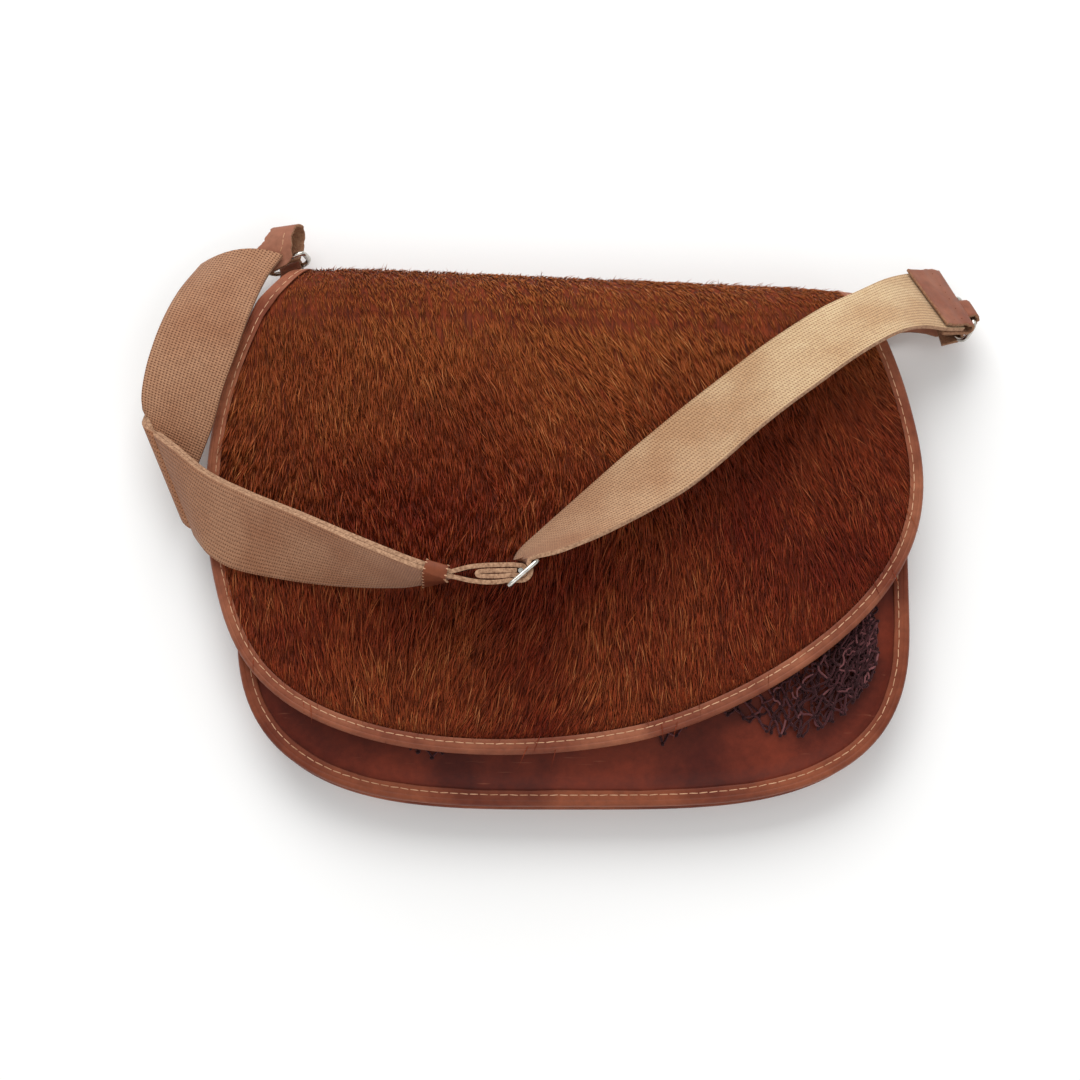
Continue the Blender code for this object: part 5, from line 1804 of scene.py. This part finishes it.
def ring_points(centre, along, up):
    """A flat ring from its upper right corner round to its lower right one."""
    points = []
    for side, level, radius, start in ((1, 1, RING_TOP_CORNER, 0), (-1, 1, RING_TOP_CORNER, 90),
                                       (-1, -1, RING_LOW_CORNER, 180),
                                       (1, -1, RING_LOW_CORNER, 270)):
        a0, b0 = side * (RING_HALF_WIDTH - radius), level * (RING_HALF_HEIGHT - radius)
        for angle in angles(start, start + 90, 8):
            points.append(centre + along * (a0 + radius * math.cos(angle))
                          + up * (b0 + radius * math.sin(angle)))
    return points


class GAMEBAG_OT_metal(bpy.types.Operator):
    """Bends the two rings and the three-bar slider from nickel-plated wire"""
    bl_idname = "gamebag.metal"
    bl_label = "Rings and slider"

    def execute(self, context):
        sizes = settings("strap")
        for name, axes, node_name in (("ring_wire_left", ring_axes_left(), "ring_left"),
                                      ("ring_wire_right", ring_axes_right(), "ring_right")):
            wire = bend_wire(ring_points(*axes), sizes.ring_wire / MM / 2, True)
            hold(wire_piece(name, [wire]), "nickel_plate", node_name)

        low, high = SLIDER_FOOT - 2.2, SLIDER_TOP + 2.0
        points = []
        for side, level, start in ((1, high, 0), (-1, high, 90), (-1, low, 180), (1, low, 270)):
            inner = level + (-SLIDER_CORNER if level == high else SLIDER_CORNER)
            for angle in angles(start, start + 90, 6):
                plan = slider_plan(side * (SLIDER_HALF_LENGTH - SLIDER_CORNER)
                                   + SLIDER_CORNER * math.cos(angle), 0.0)
                points.append(leaned(plan.x, plan.y, inner + SLIDER_CORNER * math.sin(angle)))
        wires = [bend_wire(points, sizes.slider_wire / MM / 2, True)]
        # The loose centre bar reaches past both rails
        bar = slider_plan(0.0, BAR_LIFT)
        heights = (low - 0.8, low, blend(low, high, 0.5), high, high + 0.8)
        wires.append(bend_wire([leaned(bar.x, bar.y, z) for z in heights], BAR_RADIUS, False))
        hold(wire_piece("slider_frame", wires), "nickel_plate", "slider")
        return {"FINISHED"}


# Stage

class GAMEBAG_OT_stage(bpy.types.Operator):
    """Sets the pale floor, the soft light and the camera"""
    bl_idname = "gamebag.stage"
    bl_label = "Stage"

    def execute(self, context):
        scene = context.scene
        stage = settings("stage")
        mesh = bmesh.new()
        bmesh.ops.create_grid(mesh, x_segments=2, y_segments=2, size=6.0)
        floor = finish_mesh(mesh, "floor", [finish_of("floor")])

        angle = stage.elevation
        back = Vector((0.0, -math.cos(angle), math.sin(angle)))
        camera_data = bpy.data.cameras.new("camera")
        camera_data.lens = stage.lens
        camera_data.sensor_width = 36.0
        camera = put_in_scene("camera", camera_data)
        camera.location = Vector(CAMERA_TARGET) * MM + back * stage.distance
        camera.rotation_euler = (math.pi / 2 - angle, 0.0, 0.0)
        scene.camera = camera

        for name, place, size, power in LIGHTS:
            light_data = bpy.data.lights.new(name, "AREA")
            light_data.size = size
            light_data.energy = power
            light = put_in_scene(name, light_data)
            light.location = place
            light.rotation_euler = (-Vector(place)).to_track_quat("-Z", "Y").to_euler()

        world = bpy.data.worlds.new("studio")
        world.use_nodes = True
        background = world.node_tree.nodes["Background"]
        background.inputs["Color"].default_value = (1.0, 1.0, 1.0, 1.0)
        background.inputs["Strength"].default_value = SKY_STRENGTH
        scene.world = world
        scene.view_settings.view_transform = "Standard"
        scene.view_settings.look = "None"
        return {"FINISHED"}


STEPS = (
    GAMEBAG_OT_stage, GAMEBAG_OT_body, GAMEBAG_OT_rims, GAMEBAG_OT_net, GAMEBAG_OT_flap,
    GAMEBAG_OT_hair, GAMEBAG_OT_web, GAMEBAG_OT_keeper, GAMEBAG_OT_leather_ends,
    GAMEBAG_OT_metal,
)


class GAMEBAG_PT_panel(bpy.types.Panel):
    """Lists the bag's sizes, colours and pieces"""
    bl_idname = "GAMEBAG_PT_panel"
    bl_label = "Game bag"
    bl_space_type = "VIEW_3D"
    bl_region_type = "UI"
    bl_category = "Game bag"

    def draw(self, context):
        for name, group in GROUPS:
            box = self.layout.box()
            box.label(text=name.capitalize())
            for key in group.__annotations__:
                box.prop(settings(name), key)
        for step in STEPS:
            self.layout.operator(step.bl_idname)


CLASSES = tuple(group for _, group in GROUPS) + STEPS + (GAMEBAG_PT_panel,)


def register():
    for item in CLASSES:
        bpy.utils.register_class(item)
    for name, group in GROUPS:
        setattr(bpy.types.Scene, "gamebag_" + name, PointerProperty(type=group))


def unregister():
    for name, _ in GROUPS:
        delattr(bpy.types.Scene, "gamebag_" + name)
    for item in reversed(CLASSES):
        bpy.utils.unregister_class(item)


def main():
    register()
    bpy.ops.gamebag.stage()
    bpy.ops.gamebag.body()
    bpy.ops.gamebag.rims()
    bpy.ops.gamebag.net()
    bpy.ops.gamebag.flap()
    bpy.ops.gamebag.hair()
    bpy.ops.gamebag.web()
    bpy.ops.gamebag.keeper()
    bpy.ops.gamebag.leather_ends()
    bpy.ops.gamebag.metal()


if __name__ == "__main__":
    main()
